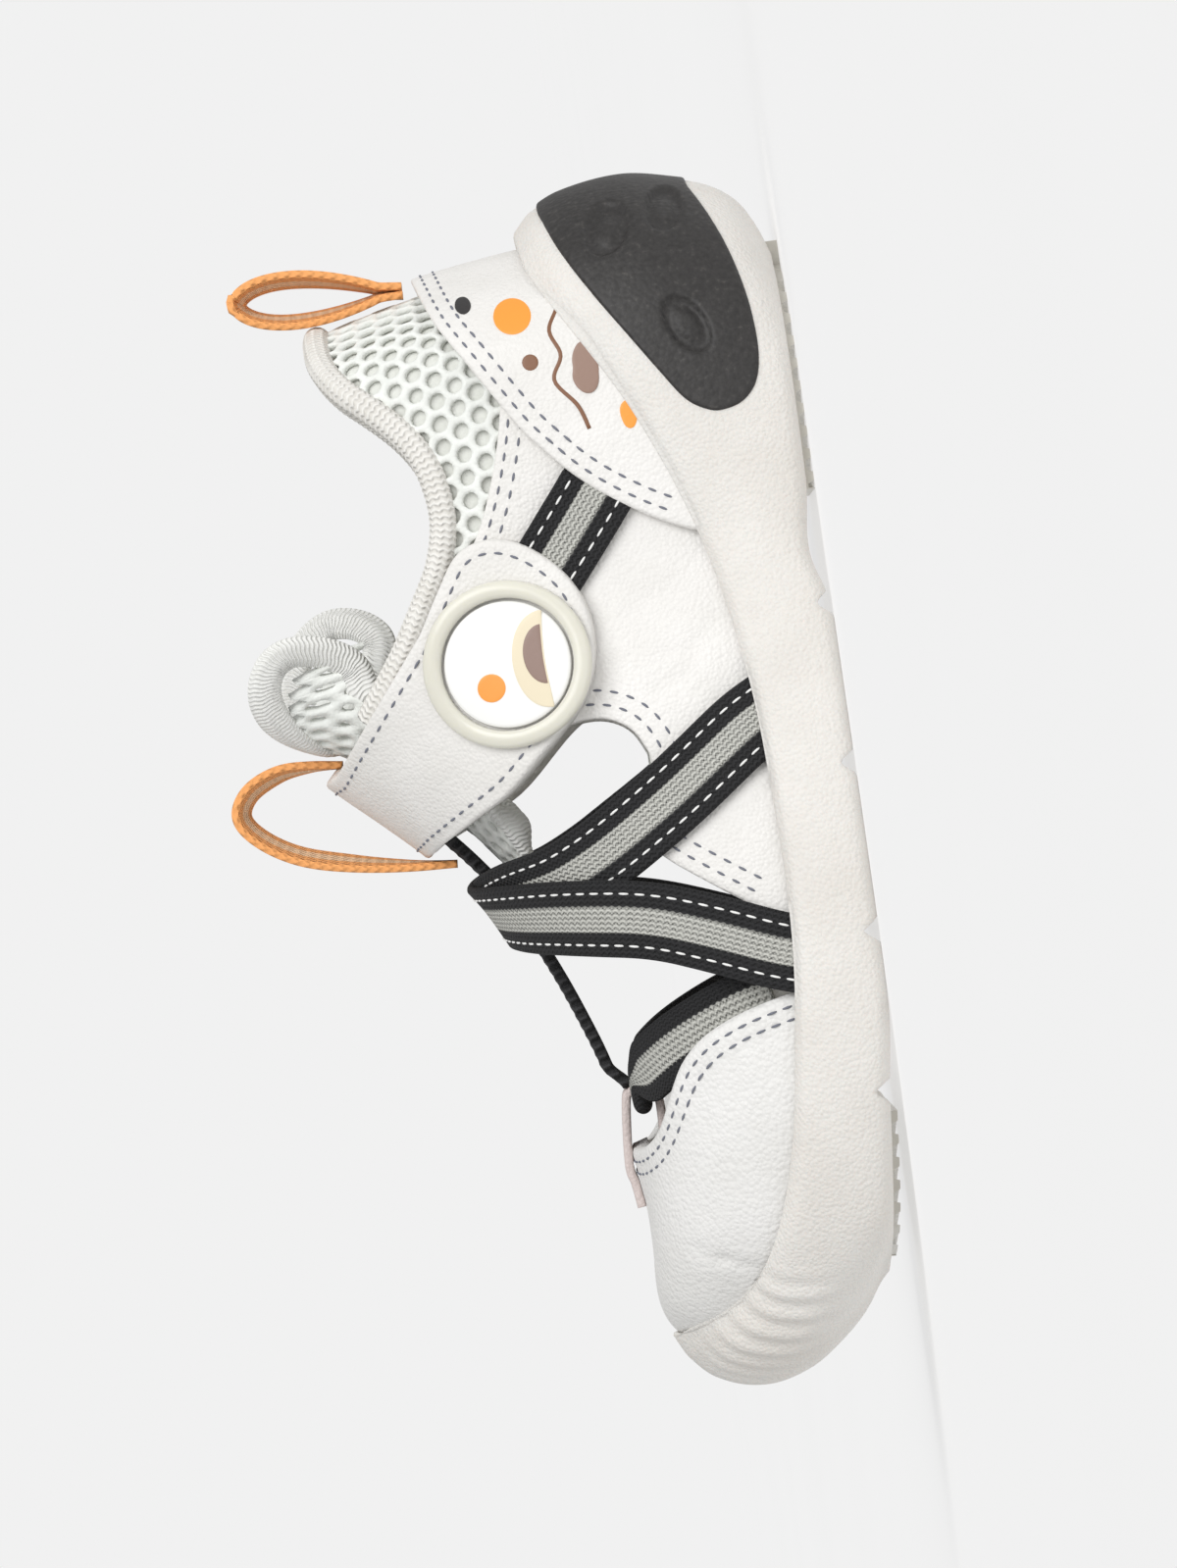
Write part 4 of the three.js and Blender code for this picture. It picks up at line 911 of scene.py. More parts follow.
def woven(name, dark, light, half, ribs=0.9, light_share=0.33, slot="webbing"):
    """Woven band, dark at both sides and light in the middle; its uv counts millimetres."""
    finish = material(name, slot, dark, 0.85)
    split = node(finish, "SeparateXYZ", {"Vector": place_of(finish, "UV")})
    along, across = split.outputs["X"], split.outputs["Y"]
    wave = sum_of(finish, "SINE", sum_of(finish, "MULTIPLY", along, 2 * math.pi / ribs))
    cross = sum_of(finish, "SINE", sum_of(finish, "MULTIPLY", across, 2 * math.pi / 0.62))
    weave = sum_of(finish, "MULTIPLY", wave, cross)
    fuzz = noise_of(finish, 0.3)
    rough_surface(finish, [(weave, 0.16), (wave, 0.08), (fuzz, 0.06)])
    if light_share:
        off = sum_of(finish, "ABSOLUTE", across)
        off = sum_of(finish, "ADD", off, sum_of(finish, "MULTIPLY", weave, 0.1))
        stripes = tint(finish, sum_of(finish, "DIVIDE", off, half),
                       [(0.0, light), (light_share - 0.02, light), (light_share + 0.02, dark),
                        (1.0, dark)])
        # Painted shade between the threads: thread darkens the stripes' colour where the weave's bump
        # is low, and lightens it a little on the thread crowns as a painted highlight.
        thread = sum_of(finish, "MULTIPLY_ADD", weave, 0.16, 0.9)
        shaded = node(finish, "Mix", {6: stripes, 7: thread}, data_type="RGBA",
                      blend_type="MULTIPLY")
        shaded.inputs[0].default_value = 1.0
        finish["tree"].links.new(shaded.outputs[2], finish["shader"].inputs["Base Color"])
    else:
        # Painted shade and highlight on the ribs: the colour runs from dark in the rib hollows to
        # light on the rib crowns, following the ribs' bump, with a random tone from fuzz.
        tint(finish, sum_of(finish, "ADD", sum_of(finish, "MULTIPLY", wave, 0.3), fuzz),
             [(0.2, dark), (0.9, light)])
    return finish


# The striped webbings and the ribbon carry painted shade between their threads, from woven.
WEBBING = woven("striped_webbing", linear(36, 36, 38), linear(203, 203, 196), WEBBING_WIDTH / 2)
FRONT_WEBBING = woven("front_webbing", linear(36, 36, 38), linear(203, 203, 196),
                      FRONT_WEBBING_WIDTH / 2)
# The elastic's lighter colour is a painted highlight on its rib crowns, and its dark colour is
# painted shade in the hollows.
ELASTIC = woven("ribbed_elastic", linear(28, 28, 30), linear(62, 62, 64), ELASTIC_WIDTH / 2, 1.3,
                light_share=0)
RIBBON = woven("orange_ribbon", linear(255, 178, 108), linear(255, 214, 172), RIBBON_WIDTH / 2,
               1.4, 0.36, "ribbon")
DARK_THREAD = material("dark_thread", "leather", linear(116, 119, 130), 0.7)
WHITE_THREAD = material("white_thread", "leather", linear(240, 240, 238), 0.7)
for _thread in (DARK_THREAD, WHITE_THREAD):
    rough_surface(_thread, [(noise_of(_thread, 0.3), 0.03)])

RING_PLASTIC = material("milky_plastic", "soft_plastic", linear(222, 220, 208), 0.28)
lets_light_in(RING_PLASTIC, 0.4, (0.003, 0.003, 0.0025), 0.4)
rough_surface(RING_PLASTIC, [(noise_of(RING_PLASTIC, 3.0), 0.05)])
WINDOW = material("clear_window", "clear_plastic", linear(248, 248, 246), 0.2, Coat_Weight=0.6,
                  Coat_Roughness=0.08)
rough_surface(WINDOW, [(noise_of(WINDOW, 6.0), 0.05)])


def painted(name, colour):
    finish = material(name, "clear_plastic", colour, 0.45)
    rough_surface(finish, [(noise_of(finish, 0.6), 0.02)])
    return finish


def heel_line(line, layer, split=14.0):
    """Chart line of an outline from the side, from its inner end round the heel to its outer end."""
    halves = []
    for side in (1, -1):
        front = locate(line[line[:, 0] >= split], side, layer)
        us = np.linspace(0, front[0, 0], 16)[:-1]
        climb = halved(us.shape, lambda share: under(form(us, side, share, layer), line))
        uv = np.vstack([np.stack([us, climb], -1), front])
        uv[:, 0] *= side
        halves.append(uv)
    return np.vstack([halves[1][::-1], halves[0][1:]])


def graph_line(line, last, layer):
    """Chart line of an outline from the side that is a plain height over x, round the heel."""
    us = np.linspace(-last, last, int(last * 24) | 1)
    side = np.where(us < 0, -1.0, 1.0)
    climb = halved(us.shape, lambda share: under(form(np.abs(us), side, share, layer), line))
    return np.stack([us, climb], -1)


def climb_at(u, z, layer=0.0):
    """Climb at which the station lines reach a height."""
    u, z = np.broadcast_arrays(np.asarray(u, float), np.asarray(z, float))
    return halved(u.shape, lambda climb: around(u, climb, layer)[..., 2] < z, rounds=36)


def over_ridge(line, side, layer, keep=0.9):
    """Chart line over the ridge's chart for the part of a side outline that lies below the ridge."""
    us = np.linspace(0.5, LAST_ROW - 0.5, 600)
    ridge = form(us, 1, 1.0, layer)
    below = line[:, 1] < np.interp(line[:, 0], ridge[:, 0], ridge[:, 2])
    ends = []
    for a, b in ((0, 1), (-1, -2)):
        if below[a]:
            ends.append(None)
            continue
        k = np.where(below)[0][0] if a == 0 else np.where(below)[0][-1]
        k2 = k - 1 if a == 0 else k + 1
        p, q = line[k], line[k2]
        f = np.linspace(0, 1, 50)[:, None]
        run = p + (q - p) * f
        gap_to = np.interp(run[:, 0], ridge[:, 0], ridge[:, 2]) - run[:, 1]
        at = run[np.argmin(np.abs(gap_to))]
        ends.append((float(np.interp(at[0], ridge[:, 0], us)), 1.0))
    uv = locate(line[below], side, layer)
    uv = uv[uv[:, 1] < keep]
    if side < 0:
        uv[:, 1] = 2 - uv[:, 1]
    parts = [np.array([ends[0]])] if ends[0] else []
    parts.append(uv)
    if ends[1]:
        parts.append(np.array([ends[1]]))
    return np.vstack(parts)


def trough(lines):
    """Relief of soft troughs: rows of (side outline, width, depth)."""
    def relief(points):
        out = np.zeros(len(points))
        for line, width, depth in lines:
            line = evenly(spline(line, 6), 0.4)
            gaps = np.sqrt(((points[:, None, [0, 2]] - line[None]) ** 2).sum(-1)).min(1)
            out -= depth * np.exp(-(gaps / width) ** 2)
        return out

    return relief


# The sole: one closed surface through the underside, the side, the lip and the inner wall
STATIONS = 400


def notch_rise(x):
    """Height of the V grooves under the sole."""
    half = NOTCH_WIDTH / 2 * NOTCH_DEPTH / (NOTCH_DEPTH + 1)
    rise = np.zeros_like(x)
    for place in NOTCH_PLACES:
        rise = np.maximum(rise, NOTCH_DEPTH * (1 - np.abs(x - place * LENGTH) / half))
    return rise


def loop_places():
    outer = np.linspace(0, LAST_ROW, STATIONS + 1)
    return np.r_[outer, -outer[-2:0:-1]]


def wall_layer(x, depth):
    """How far the cup's inner wall stands off the last, with room for what is tucked in."""
    room = 1.7 * (1 - smoothstep(x, 44, 48))
    shallow = 1 - smoothstep(depth, 3.0, 5.0)
    for low, high in ((62.6, 74.4), (92.2, 102.8)):
        beside_it = smoothstep(x, low - 2, low) * (1 - smoothstep(x, high, high + 2))
        room = np.maximum(room, 1.45 * beside_it * shallow)
    return GAP + room


INSERT_LINE = side_line(INSERT, CUP_HEIGHT)


def make_sole():
    u = loop_places()
    shares = np.r_[0, 0.015, 0.03, 0.05, np.linspace(0.08, 0.92, 30), 0.935, 0.95, 0.965, 0.98, 0.993]
    behind_heel = -8
    recess_poly = np.vstack([[behind_heel, INSERT_LINE[0, 1]], INSERT_LINE,
                             [behind_heel, INSERT_LINE[-1, 1]]])
    recess_edge = evenly(INSERT_LINE, 0.3)
    rows = []
    for share in shares:
        p = sole_side(u, share)
        low = underside_height(p[:, 0]) + spring_at(p[:, 0])
        p[:, 2] = np.maximum(p[:, 2], low + notch_rise(p[:, 0]))
        inside = inside_polygon(p[:, [0, 2]], recess_poly)
        near = np.where(inside)[0]
        gaps = np.sqrt(((p[near][:, None, [0, 2]] - recess_edge[None]) ** 2).sum(-1)).min(1)
        inside[near] = gaps > 1.1
        if inside.any():
            q = sole_side(u, share, -1.1)
            p[inside] = q[inside]
        turn = np.arctan2(p[:, 1] + 3, p[:, 0] - 116)
        toe = (1 - smoothstep(np.abs(turn), 0.75, 1.0)) * np.exp(-((p[:, 2] - 19.5) / 7.5) ** 4)
        ribs = np.cos(turn * 30 * math.pi / 3.4) ** 2
        push = unit(sole_side(u, share, 0.5) - sole_side(u, share))
        p = p + push * (0.5 * toe * (p[:, 0] > 116) * ribs)[:, None]
        rows.append(p)
    top = sole_side(u, 1.0)
    x_top = top[:, 0]
    layer = wall_layer(x_top, np.zeros(len(u)))
    climb = climb_at(u, top[:, 2], layer)
    inner = around(u, climb, layer)
    for share, rise in ((0.0, -0.05), (0.3, 0.12), (0.6, 0.1), (0.85, 0.0), (1.0, -0.35)):
        p = top + (inner - top) * share
        p[:, 2] += rise
        rows.append(p)
    for share in np.linspace(0.12, 1.0, 9):
        c = climb * (1 - share)
        depth = top[:, 2] - around(u, c, GAP)[:, 2]
        rows.append(around(u, c, wall_layer(x_top, depth)))
    ring = len(u)
    points = np.vstack(rows)
    faces = joined_rings(len(rows), ring)
    first = bridge_across(rows[0], lambda p: underside_height(p[:, 0]) + notch_rise(p[:, 0])
                          + spring_at(p[:, 0]))
    points, faces = close_with(points, faces, first, 0, flip=False)
    last = bridge_across(rows[-1], lambda p: bed_height(p[:, 0]) + spring_at(p[:, 0]))
    points, faces = close_with(points, faces, last, (len(rows) - 1) * ring, flip=True)
    make("sole", points, faces, SOLE_FOAM, stands_for=("midsole",))


def bridge_across(loop, height, steps=14):
    """Rows of points between the two sides of a loop, one for each pair of stations."""
    half = len(loop) // 2
    out = []
    for i in range(1, half):
        a, b = loop[i], loop[len(loop) - i]
        f = np.linspace(0, 1, steps + 1)[1:-1, None]
        p = a + (b - a) * f
        p[:, 2] = height(p)
        out.append(p)
    return np.array(out)


def close_with(points, faces, bridge, start, flip):
    """Closes a loop that begins at start with the rows from bridge_across."""
    half = len(bridge) + 1
    ring = 2 * half
    steps = bridge.shape[1]
    base = len(points)
    points = np.vstack([points, bridge.reshape(-1, 3)])

    def at(i, j):
        if i in (0, half):
            return start + i
        if j == 0:
            return start + i
        if j == steps + 1:
            return start + ring - i
        return base + (i - 1) * steps + j - 1

    for i in range(half):
        for j in range(steps + 1):
            face = [at(i, j), at(i, j + 1), at(i + 1, j + 1), at(i + 1, j)]
            face = [f for k, f in enumerate(face) if f not in face[:k]]
            if len(face) > 2:
                faces.append(tuple(face[::-1] if flip else face))
    return points, faces


make_sole()


def polyline(*points):
    return np.array(points, float)


TOP_EDGE = side_line(TOPLINE, COLLAR_HEIGHT)
SEAM_EDGE = side_line(MESH_SEAM, COLLAR_HEIGHT)
OVERLAY_EDGE = side_line(OVERLAY, COLLAR_HEIGHT)
FRONT_EDGE = side_line(QUARTER_FRONT, COLLAR_HEIGHT)
STRAP_EDGE = side_line(STRAP, INSTEP_HEIGHT)
STRAP_INNER_EDGE = side_line(STRAP_INNER, INSTEP_HEIGHT)
VAMP_EDGE = side_line(VAMP, TOE_HEIGHT, sprung=True)


def make_insert():
    turn = int(np.argmax(INSERT_LINE[:, 0]))
    split = 15.0

    def half(one):
        front = locate(one[one[:, 0] >= split], 1, chart="sole")
        us = np.linspace(0, front[0, 0], 12)[:-1]
        share = halved(us.shape, lambda climb: under(sole_side(us, climb), one))
        return np.vstack([np.stack([us, share], -1), front])

    top, bottom = half(INSERT_LINE[:turn + 1]), half(INSERT_LINE[turn:][::-1])
    mirror = np.array([-1, 1])
    outline = np.vstack([(top * mirror)[::-1], top[1:], bottom[::-1][1:], (bottom * mirror)[1:-1]])

    def relief(p):
        out = np.zeros(len(p))
        for (x, z), (a, b), lean in (((6.8, 20.8), (3.6, 2.7), 0.5), ((5.2, 13.4), (2.9, 2.3), 0.3),
                                     ((20.0, 12.7), (4.0, 2.4), -0.5)):
            dx, dz = p[:, 0] - x, p[:, 2] - z
            along = (dx * math.cos(lean) + dz * math.sin(lean)) / a
            over_it = (dz * math.cos(lean) - dx * math.sin(lean)) / b
            r = np.hypot(along, over_it)
            ring = -0.75 * smoothstep(-r, -1.08, -0.84) + 0.4 * smoothstep(-r, -0.72, -0.3)
            out += np.where(np.abs(p[:, 1]) > 2, ring, 0)
        return out

    sheet("heel_insert_skin", sole_side, outline, INSERT_PROUD + 0.05, -0.8, CHARCOAL,
          spacing=0.42, relief=relief, stands_for=("heel_insert",))


make_insert()


def make_insole():
    u = loop_places()[::2]
    layer = -LEATHER_WALL - GAP
    rows = []
    for lift, inset in ((GAP, 0.3), (GAP + 0.5, 0), (GAP + INSOLE_THICKNESS - 0.6, 0),
                        (GAP + INSOLE_THICKNESS - 0.15, 0.25), (GAP + INSOLE_THICKNESS, 0.8)):
        p = around(u, 0.0, layer - inset)
        p[:, 2] += lift
        rows.append(p)
    ring = len(u)
    points, faces = np.vstack(rows), joined_rings(len(rows), ring)
    for k, lift, flip in ((0, GAP, False), (len(rows) - 1, GAP + INSOLE_THICKNESS, True)):
        bridge = bridge_across(rows[k], lambda p: bed_height(p[:, 0]) + spring_at(p[:, 0]) + lift)
        points, faces = close_with(points, faces, bridge, k * ring, flip=flip)
    make("footbed", points, faces, LINING, stands_for=("insole",))


make_insole()


def quarter_outline(side):
    """Chart outline of one leather quarter."""
    cross = TOP_EDGE[(TOP_EDGE[:, 0] > 46.8) & (TOP_EDGE[:, 0] < 64)]
    front = FRONT_EDGE[(FRONT_EDGE[:, 1] < 53) & (FRONT_EDGE[:, 1] > 8.6)]
    seam = SEAM_EDGE[(SEAM_EDGE[:, 0] < 46.5)]
    seam = seam[seam[:, 0] > 19.4]
    top = locate(np.vstack([seam, cross, [[68.5, 56.5]], front]), side)
    us = np.linspace(top[-1, 0], top[0, 0], 30)
    low = np.stack([us, np.full(30, 0.006)], -1)
    uv = np.vstack([top, low])
    uv[:, 0] *= side
    return uv


CREASES = {
    1: trough([(polyline((73.5, 24.6), (75.6, 25.6), (77.4, 25.2)), 0.5, 0.16),
               (polyline((75.2, 21.6), (77.6, 22.9), (80.2, 22.4)), 0.55, 0.18),
               (polyline((78.6, 26.4), (80.0, 24.4), (82.0, 23.4)), 0.5, 0.14),
               (polyline((60.0, 17.2), (62.4, 19.4), (63.6, 22.6)), 0.9, 0.16),
               (polyline((56.4, 14.6), (58.8, 17.4), (59.4, 20.8)), 1.0, 0.14),
               (polyline((49.0, 15.8), (51.6, 19.0), (52.2, 23.0)), 1.2, 0.12)]),
    -1: trough([(polyline((60.0, 17.2), (62.4, 19.4), (63.6, 22.6)), 0.9, 0.16),
                (polyline((75.2, 21.6), (77.6, 22.9), (80.2, 22.4)), 0.55, 0.18)]),
}
THIN_LINING = 0.5
for _side, _word in ((1, "outer"), (-1, "inner")):
    sheet(f"quarter_{_word}", around, quarter_outline(_side), 0.0, -LEATHER_WALL + THIN_LINING,
          WHITE_LEATHER, spacing=0.75, relief=CREASES[_side], stands_for=("upper",))


def make_lining():
    upper_uv = graph_line(TOP_EDGE + [0, 0.6], 6.1, -2.0)
    front = FRONT_EDGE[(FRONT_EDGE[:, 1] < 53) & (FRONT_EDGE[:, 1] > 14)]
    halves = []
    for side in (1, -1):
        uv = locate(np.vstack([[[68.5, 56.0]], front - [0.6, 0]]), side, -2.0)
        uv[:, 0] *= side
        halves.append(uv)
    ends = [halves[0][-1, 0], halves[1][-1, 0]]
    low_us = np.linspace(ends[0], ends[1], 80)
    low = np.stack([low_us, climb_at(low_us, bed_height(np.abs(low_us) * 10) + 1.4, -2.0)], -1)
    outline = np.vstack([halves[1][::-1], upper_uv, halves[0], low])
    sheet("quarter_lining", around, outline, -LEATHER_WALL + THIN_LINING - 0.05, -LEATHER_WALL,
          MESH_BACK, spacing=1.3, round_edge=0.1, stands_for=("upper",))


make_lining()


def make_overlay():
    edge = OVERLAY_EDGE[OVERLAY_EDGE[:, 0] < 45.2]
    edge = np.vstack([[-20, 45.9], edge])
    top = heel_line(edge, 1.7)
    bottom_rows = polyline((-20, 28.8), (15, 25.2), (30, 17.1), (45.0, 11.6))
    bottom = heel_line(evenly(bottom_rows, 1.5), 1.7)
    outline = np.vstack([top, bottom[::-1]])
    swells = trough([(polyline((26, 24), (30, 28), (33, 31)), 1.6, 0.12),
                     (polyline((10, 36), (14, 38), (18, 37)), 1.8, 0.1)])
    sheet("heel_overlay_skin", around, outline, GAP + OVERLAY_THICKNESS, GAP, WHITE_LEATHER,
          spacing=0.8, round_edge=0.45, relief=swells, stands_for=("heel_overlay",))


make_overlay()


def make_strap():
    layer = GAP + STRAP_THICKNESS
    outer = over_ridge(evenly(STRAP_EDGE, 0.6), 1, layer)
    inner = over_ridge(evenly(STRAP_INNER_EDGE, 0.6), -1, layer)
    outline = np.vstack([outer, inner[::-1][1:-1]])
    folds = trough([(polyline((78, 51), (76, 46), (73.4, 42.6)), 0.9, 0.16),
                    (polyline((50, 44), (53, 48), (57, 51)), 1.2, 0.12)])
    sheet("closing_strap", over, outline, layer, GAP, WHITE_LEATHER, spacing=0.8, round_edge=0.5,
          relief=folds, stands_for=("strap",))
    return outer, inner


STRAP_OUTER_UV, STRAP_INNER_UV = make_strap()


def make_toe():
    """Toe leather as one sheet from its rear edge to the welt at the tip."""
    across, along = 61, 74
    half = (1 - np.cos(np.linspace(0, math.pi, across))) / 2
    climbs = 0.004 + 0.996 * half
    climbs[-1] = 1.0
    line = evenly(VAMP_EDGE[VAMP_EDGE[:, 1] > 8.2], 0.5)
    ridge = form(np.linspace(8, 14, 300), 1, 1.0, 0.0)
    line = line[line[:, 1] < np.interp(line[:, 0], ridge[:, 0], ridge[:, 2])]
    columns_of = {}
    for side in (1, -1):
        uv = locate(line, side)
        uv = uv[np.argsort(uv[:, 1])]
        uv = uv[uv[:, 1] < 0.95]
        ridge_u = float(np.interp(0.79 * LENGTH, ridge[:, 0], np.linspace(8, 14, 300)))
        columns_of[side] = np.interp(climbs, np.r_[uv[:, 1], 1.0], np.r_[uv[:, 0], ridge_u])
    w = np.r_[climbs, 2 - climbs[::-1][1:]]
    start = np.r_[columns_of[1], columns_of[-1][::-1][1:]]
    start = np.convolve(np.pad(start, 2, mode="edge"), np.ones(5) / 5, "valid")
    count = len(w)
    rim = np.stack([start, w], -1)
    rim = rim[(w > 0.06) & (w < 1.94)]
    creases = trough([
        (polyline((133.4, 24.6), (134.2, 22.4), (135.0, 20.2)), 0.6, 0.3),
        (polyline((131.6, 27.4), (132.8, 25.6), (133.6, 24.0)), 0.7, 0.2),
        (polyline((107.5, 17.5), (110.5, 19.5), (114.0, 19.6)), 1.1, 0.18),
        (polyline((110.0, 22.8), (114.0, 24.2), (118.0, 24.0)), 1.2, 0.16),
        (polyline((104.8, 13.8), (108.0, 15.0), (111.0, 14.8)), 1.0, 0.16),
        (polyline((121.0, 25.6), (124.0, 26.4), (127.5, 25.8)), 1.2, 0.12),
    ])
    grids = []
    for level in (0.0, -LEATHER_WALL):
        rows = []
        for k in range(along + 1):
            f = k / along
            u = start + (14 - start) * f
            p = over(u, w, level)
            if level == 0:
                normal = slopes(over, np.stack([np.minimum(u, 13.999), w], -1), level)[2]
                fade = min(k / 3, 1)
                p = p + normal * (creases(p) * fade - 0.35 * (1 - min(k / 2, 1)) ** 2)[:, None]
            rows.append(p)
        grids.append(np.array(rows))
    points = np.vstack([g.reshape(-1, 3) for g in grids])
    size = (along + 1) * count

    def index(grid, k, i):
        if k == along and i > count // 2:
            i = count - 1 - i
        return grid * size + k * count + i

    faces = []
    for k in range(along):
        for i in range(count - 1):
            quad = [(k, i), (k + 1, i), (k + 1, i + 1), (k, i + 1)]
            top = [index(0, a, b) for a, b in quad]
            low = [index(1, a, b) for a, b in quad][::-1]
            for face in (top, low):
                face = [f for n, f in enumerate(face) if f not in face[:n]]
                if len(face) > 2:
                    faces.append(tuple(face))
    for i in range(count - 1):
        faces.append((index(0, 0, i), index(0, 0, i + 1), index(1, 0, i + 1), index(1, 0, i)))
    for k in range(along):
        faces.append((index(0, k, 0), index(1, k, 0), index(1, k + 1, 0), index(0, k + 1, 0)))
        e = count - 1
        faces.append((index(0, k, e), index(0, k + 1, e), index(1, k + 1, e), index(1, k, e)))
    used = sorted({i for f in faces for i in f})
    renumber = {old: new for new, old in enumerate(used)}
    make("toe_leather", points[used], [tuple(renumber[i] for i in f) for f in faces], TOE_LEATHER,
         stands_for=("upper",))
    return rim


TOE_EDGE_UV = make_toe()


def side_path(rows, side):
    """Places on the ridge's chart of a side path given as shares of length and instep height."""
    line = spline(np.array([(a * LENGTH, b * INSTEP_HEIGHT) for a, b in rows]), 8)
    uv = locate(line, side)
    if side < 0:
        uv[:, 1] = 2 - uv[:, 1]
    return uv


def even_path(chart, uv, step, layer=0.0):
    run = run_of(chart(*uv.T, layer))
    return sampled(np.linspace(0, run[-1], max(int(run[-1] / step), 3) + 1), run, uv)


def tucked_ends(chart, start, end, reach=2.2):
    """Lift that sinks a band's ends under what covers them."""
    def lift(uv):
        run = run_of(chart(*uv.T, 0.0))
        return (-start * (1 - smoothstep(run, 0, reach))
                - end * (1 - smoothstep(run[-1] - run, 0, reach)))

    return lift


def crossing_path(rear_side):
    """One crossing band: from the rear leg of one side over the top to the front leg of the other."""
    uv = np.vstack([side_path(REAR_LEG, rear_side), side_path(FRONT_LEG, -rear_side)[::-1]])
    run = run_of(over(*uv.T, 0.0))
    return smoothed(sampled(np.linspace(0, run[-1], 140), run, uv), 15)


def lifted_over(uv):
    """Lift that carries the upper crossing band over the lower one."""
    run = run_of(over(*uv.T, 0.0))
    middle = np.abs(run - run[-1] / 2)
    return 1.15 * (1 - smoothstep(middle, 0.26 * run[-1], 0.36 * run[-1]))


WEBBING_ROWS = []
for _side, _word in ((1, "lateral"), (-1, "medial")):
    _path = even_path(over, side_path(QUARTER_BAND, _side), 0.5)
    WEBBING_ROWS += band(f"quarter_band_{_word}", over, _path, WEBBING_WIDTH, GAP,
                         WEBBING_THICKNESS, WEBBING, lift=tucked_ends(over, 1.3, 1.3),
                         stands_for=(f"quarter_webbing_{_word}",))
for _word, _side, _lift in (("under", 1, None), ("over", -1, lifted_over)):
    WEBBING_ROWS += band(f"crossing_band_{_word}", over, crossing_path(_side), WEBBING_WIDTH, GAP,
                         WEBBING_THICKNESS, WEBBING, lift=_lift, stands_for=("cross_webbing",))


def near_ridge(u, offset, layer=0.0):
    """Ridge-chart places at a sideways distance from the centre line."""
    u, offset = np.broadcast_arrays(np.asarray(u, float), np.asarray(offset, float))
    side = np.where(offset >= 0, 1.0, -1.0)
    base = form(u, side, 0.0, layer)
    ridge = form(u, side, 1.0, layer)
    reach = np.abs(base[..., 1] - ridge[..., 1])
    share = np.clip(np.abs(offset) / reach, 0, 1) ** (section_value(u, "round") / 2)
    climb = np.arccos(share) * 2 / math.pi
    return np.where(side > 0, climb, 2 - climb)


def ridge_place(x, layer=0.0):
    us = np.linspace(0.5, 13.9, 800)
    return np.interp(x, form(us, 1, 1.0, layer)[:, 0], us)


def make_elastic():
    xs = np.linspace(0.475 * LENGTH, 0.744 * LENGTH, 130)
    dip = -1.6 * smoothstep(xs, 0.722 * LENGTH, 0.746 * LENGTH)
    us = ridge_place(xs)
    run = run_of(over(us, 1.0, 0.0))
    ring = flat_ring(ELASTIC_WIDTH, ELASTIC_THICKNESS, 12)
    sections, uvs = [], []
    ribs = 0.05 * np.cos(run * 2 * math.pi / 1.3)
    for t, z in ring:
        w = near_ridge(us, np.full(len(us), t))
        inside = abs(t) < ELASTIC_WIDTH / 2 - 0.5
        level = dip - ELASTIC_THICKNESS / 2 + z + (ribs if z > 0 and inside else 0)
        sections.append(over(us, w, level))
        uvs.append(np.stack([run, np.full(len(run), t)], -1))
    points, uv = np.stack(sections, 1), np.stack(uvs, 1)
    faces = [f[::-1] for f in ringed(points)]
    make("instep_elastic", points.reshape(-1, 3), faces, ELASTIC, uv=uv.reshape(-1, 2),
         stands_for=("centre_elastic",))


make_elastic()


def tab_eye():
    x = 0.757 * LENGTH
    _rx, ry, rz = ridge_point(x, -LEATHER_WALL - GAP - WEBBING_THICKNESS / 2)
    return np.array([x, float(ry), float(rz) + float(spring_at(x)) - 0.4])


EYE = tab_eye()


def make_tab():
    def rest(share):
        rx, _ry, rz = ridge_point(share * LENGTH, 0.35 + TAB_THICKNESS / 2)
        return [float(rx), float(EYE[1]), float(rz + spring_at(rx))]

    radius = CORE_RADIUS + GAP + TAB_THICKNESS / 2
    path = [rest(0.84), rest(0.82), rest(0.803)]
    for degrees in (100, 140, 180, 220, 270):
        a = math.radians(degrees)
        path.append([EYE[0] + radius * math.cos(a), EYE[1], EYE[2] + radius * math.sin(a)])
    path.append([EYE[0] + 2 * radius, EYE[1], EYE[2] - radius])
    ribbon("toe_tab", spline(path, 10), (0, 1, 0), TAB_WIDTH, TAB_THICKNESS, TAB_LEATHER,
           stands_for=("vamp_loop",))


make_tab()


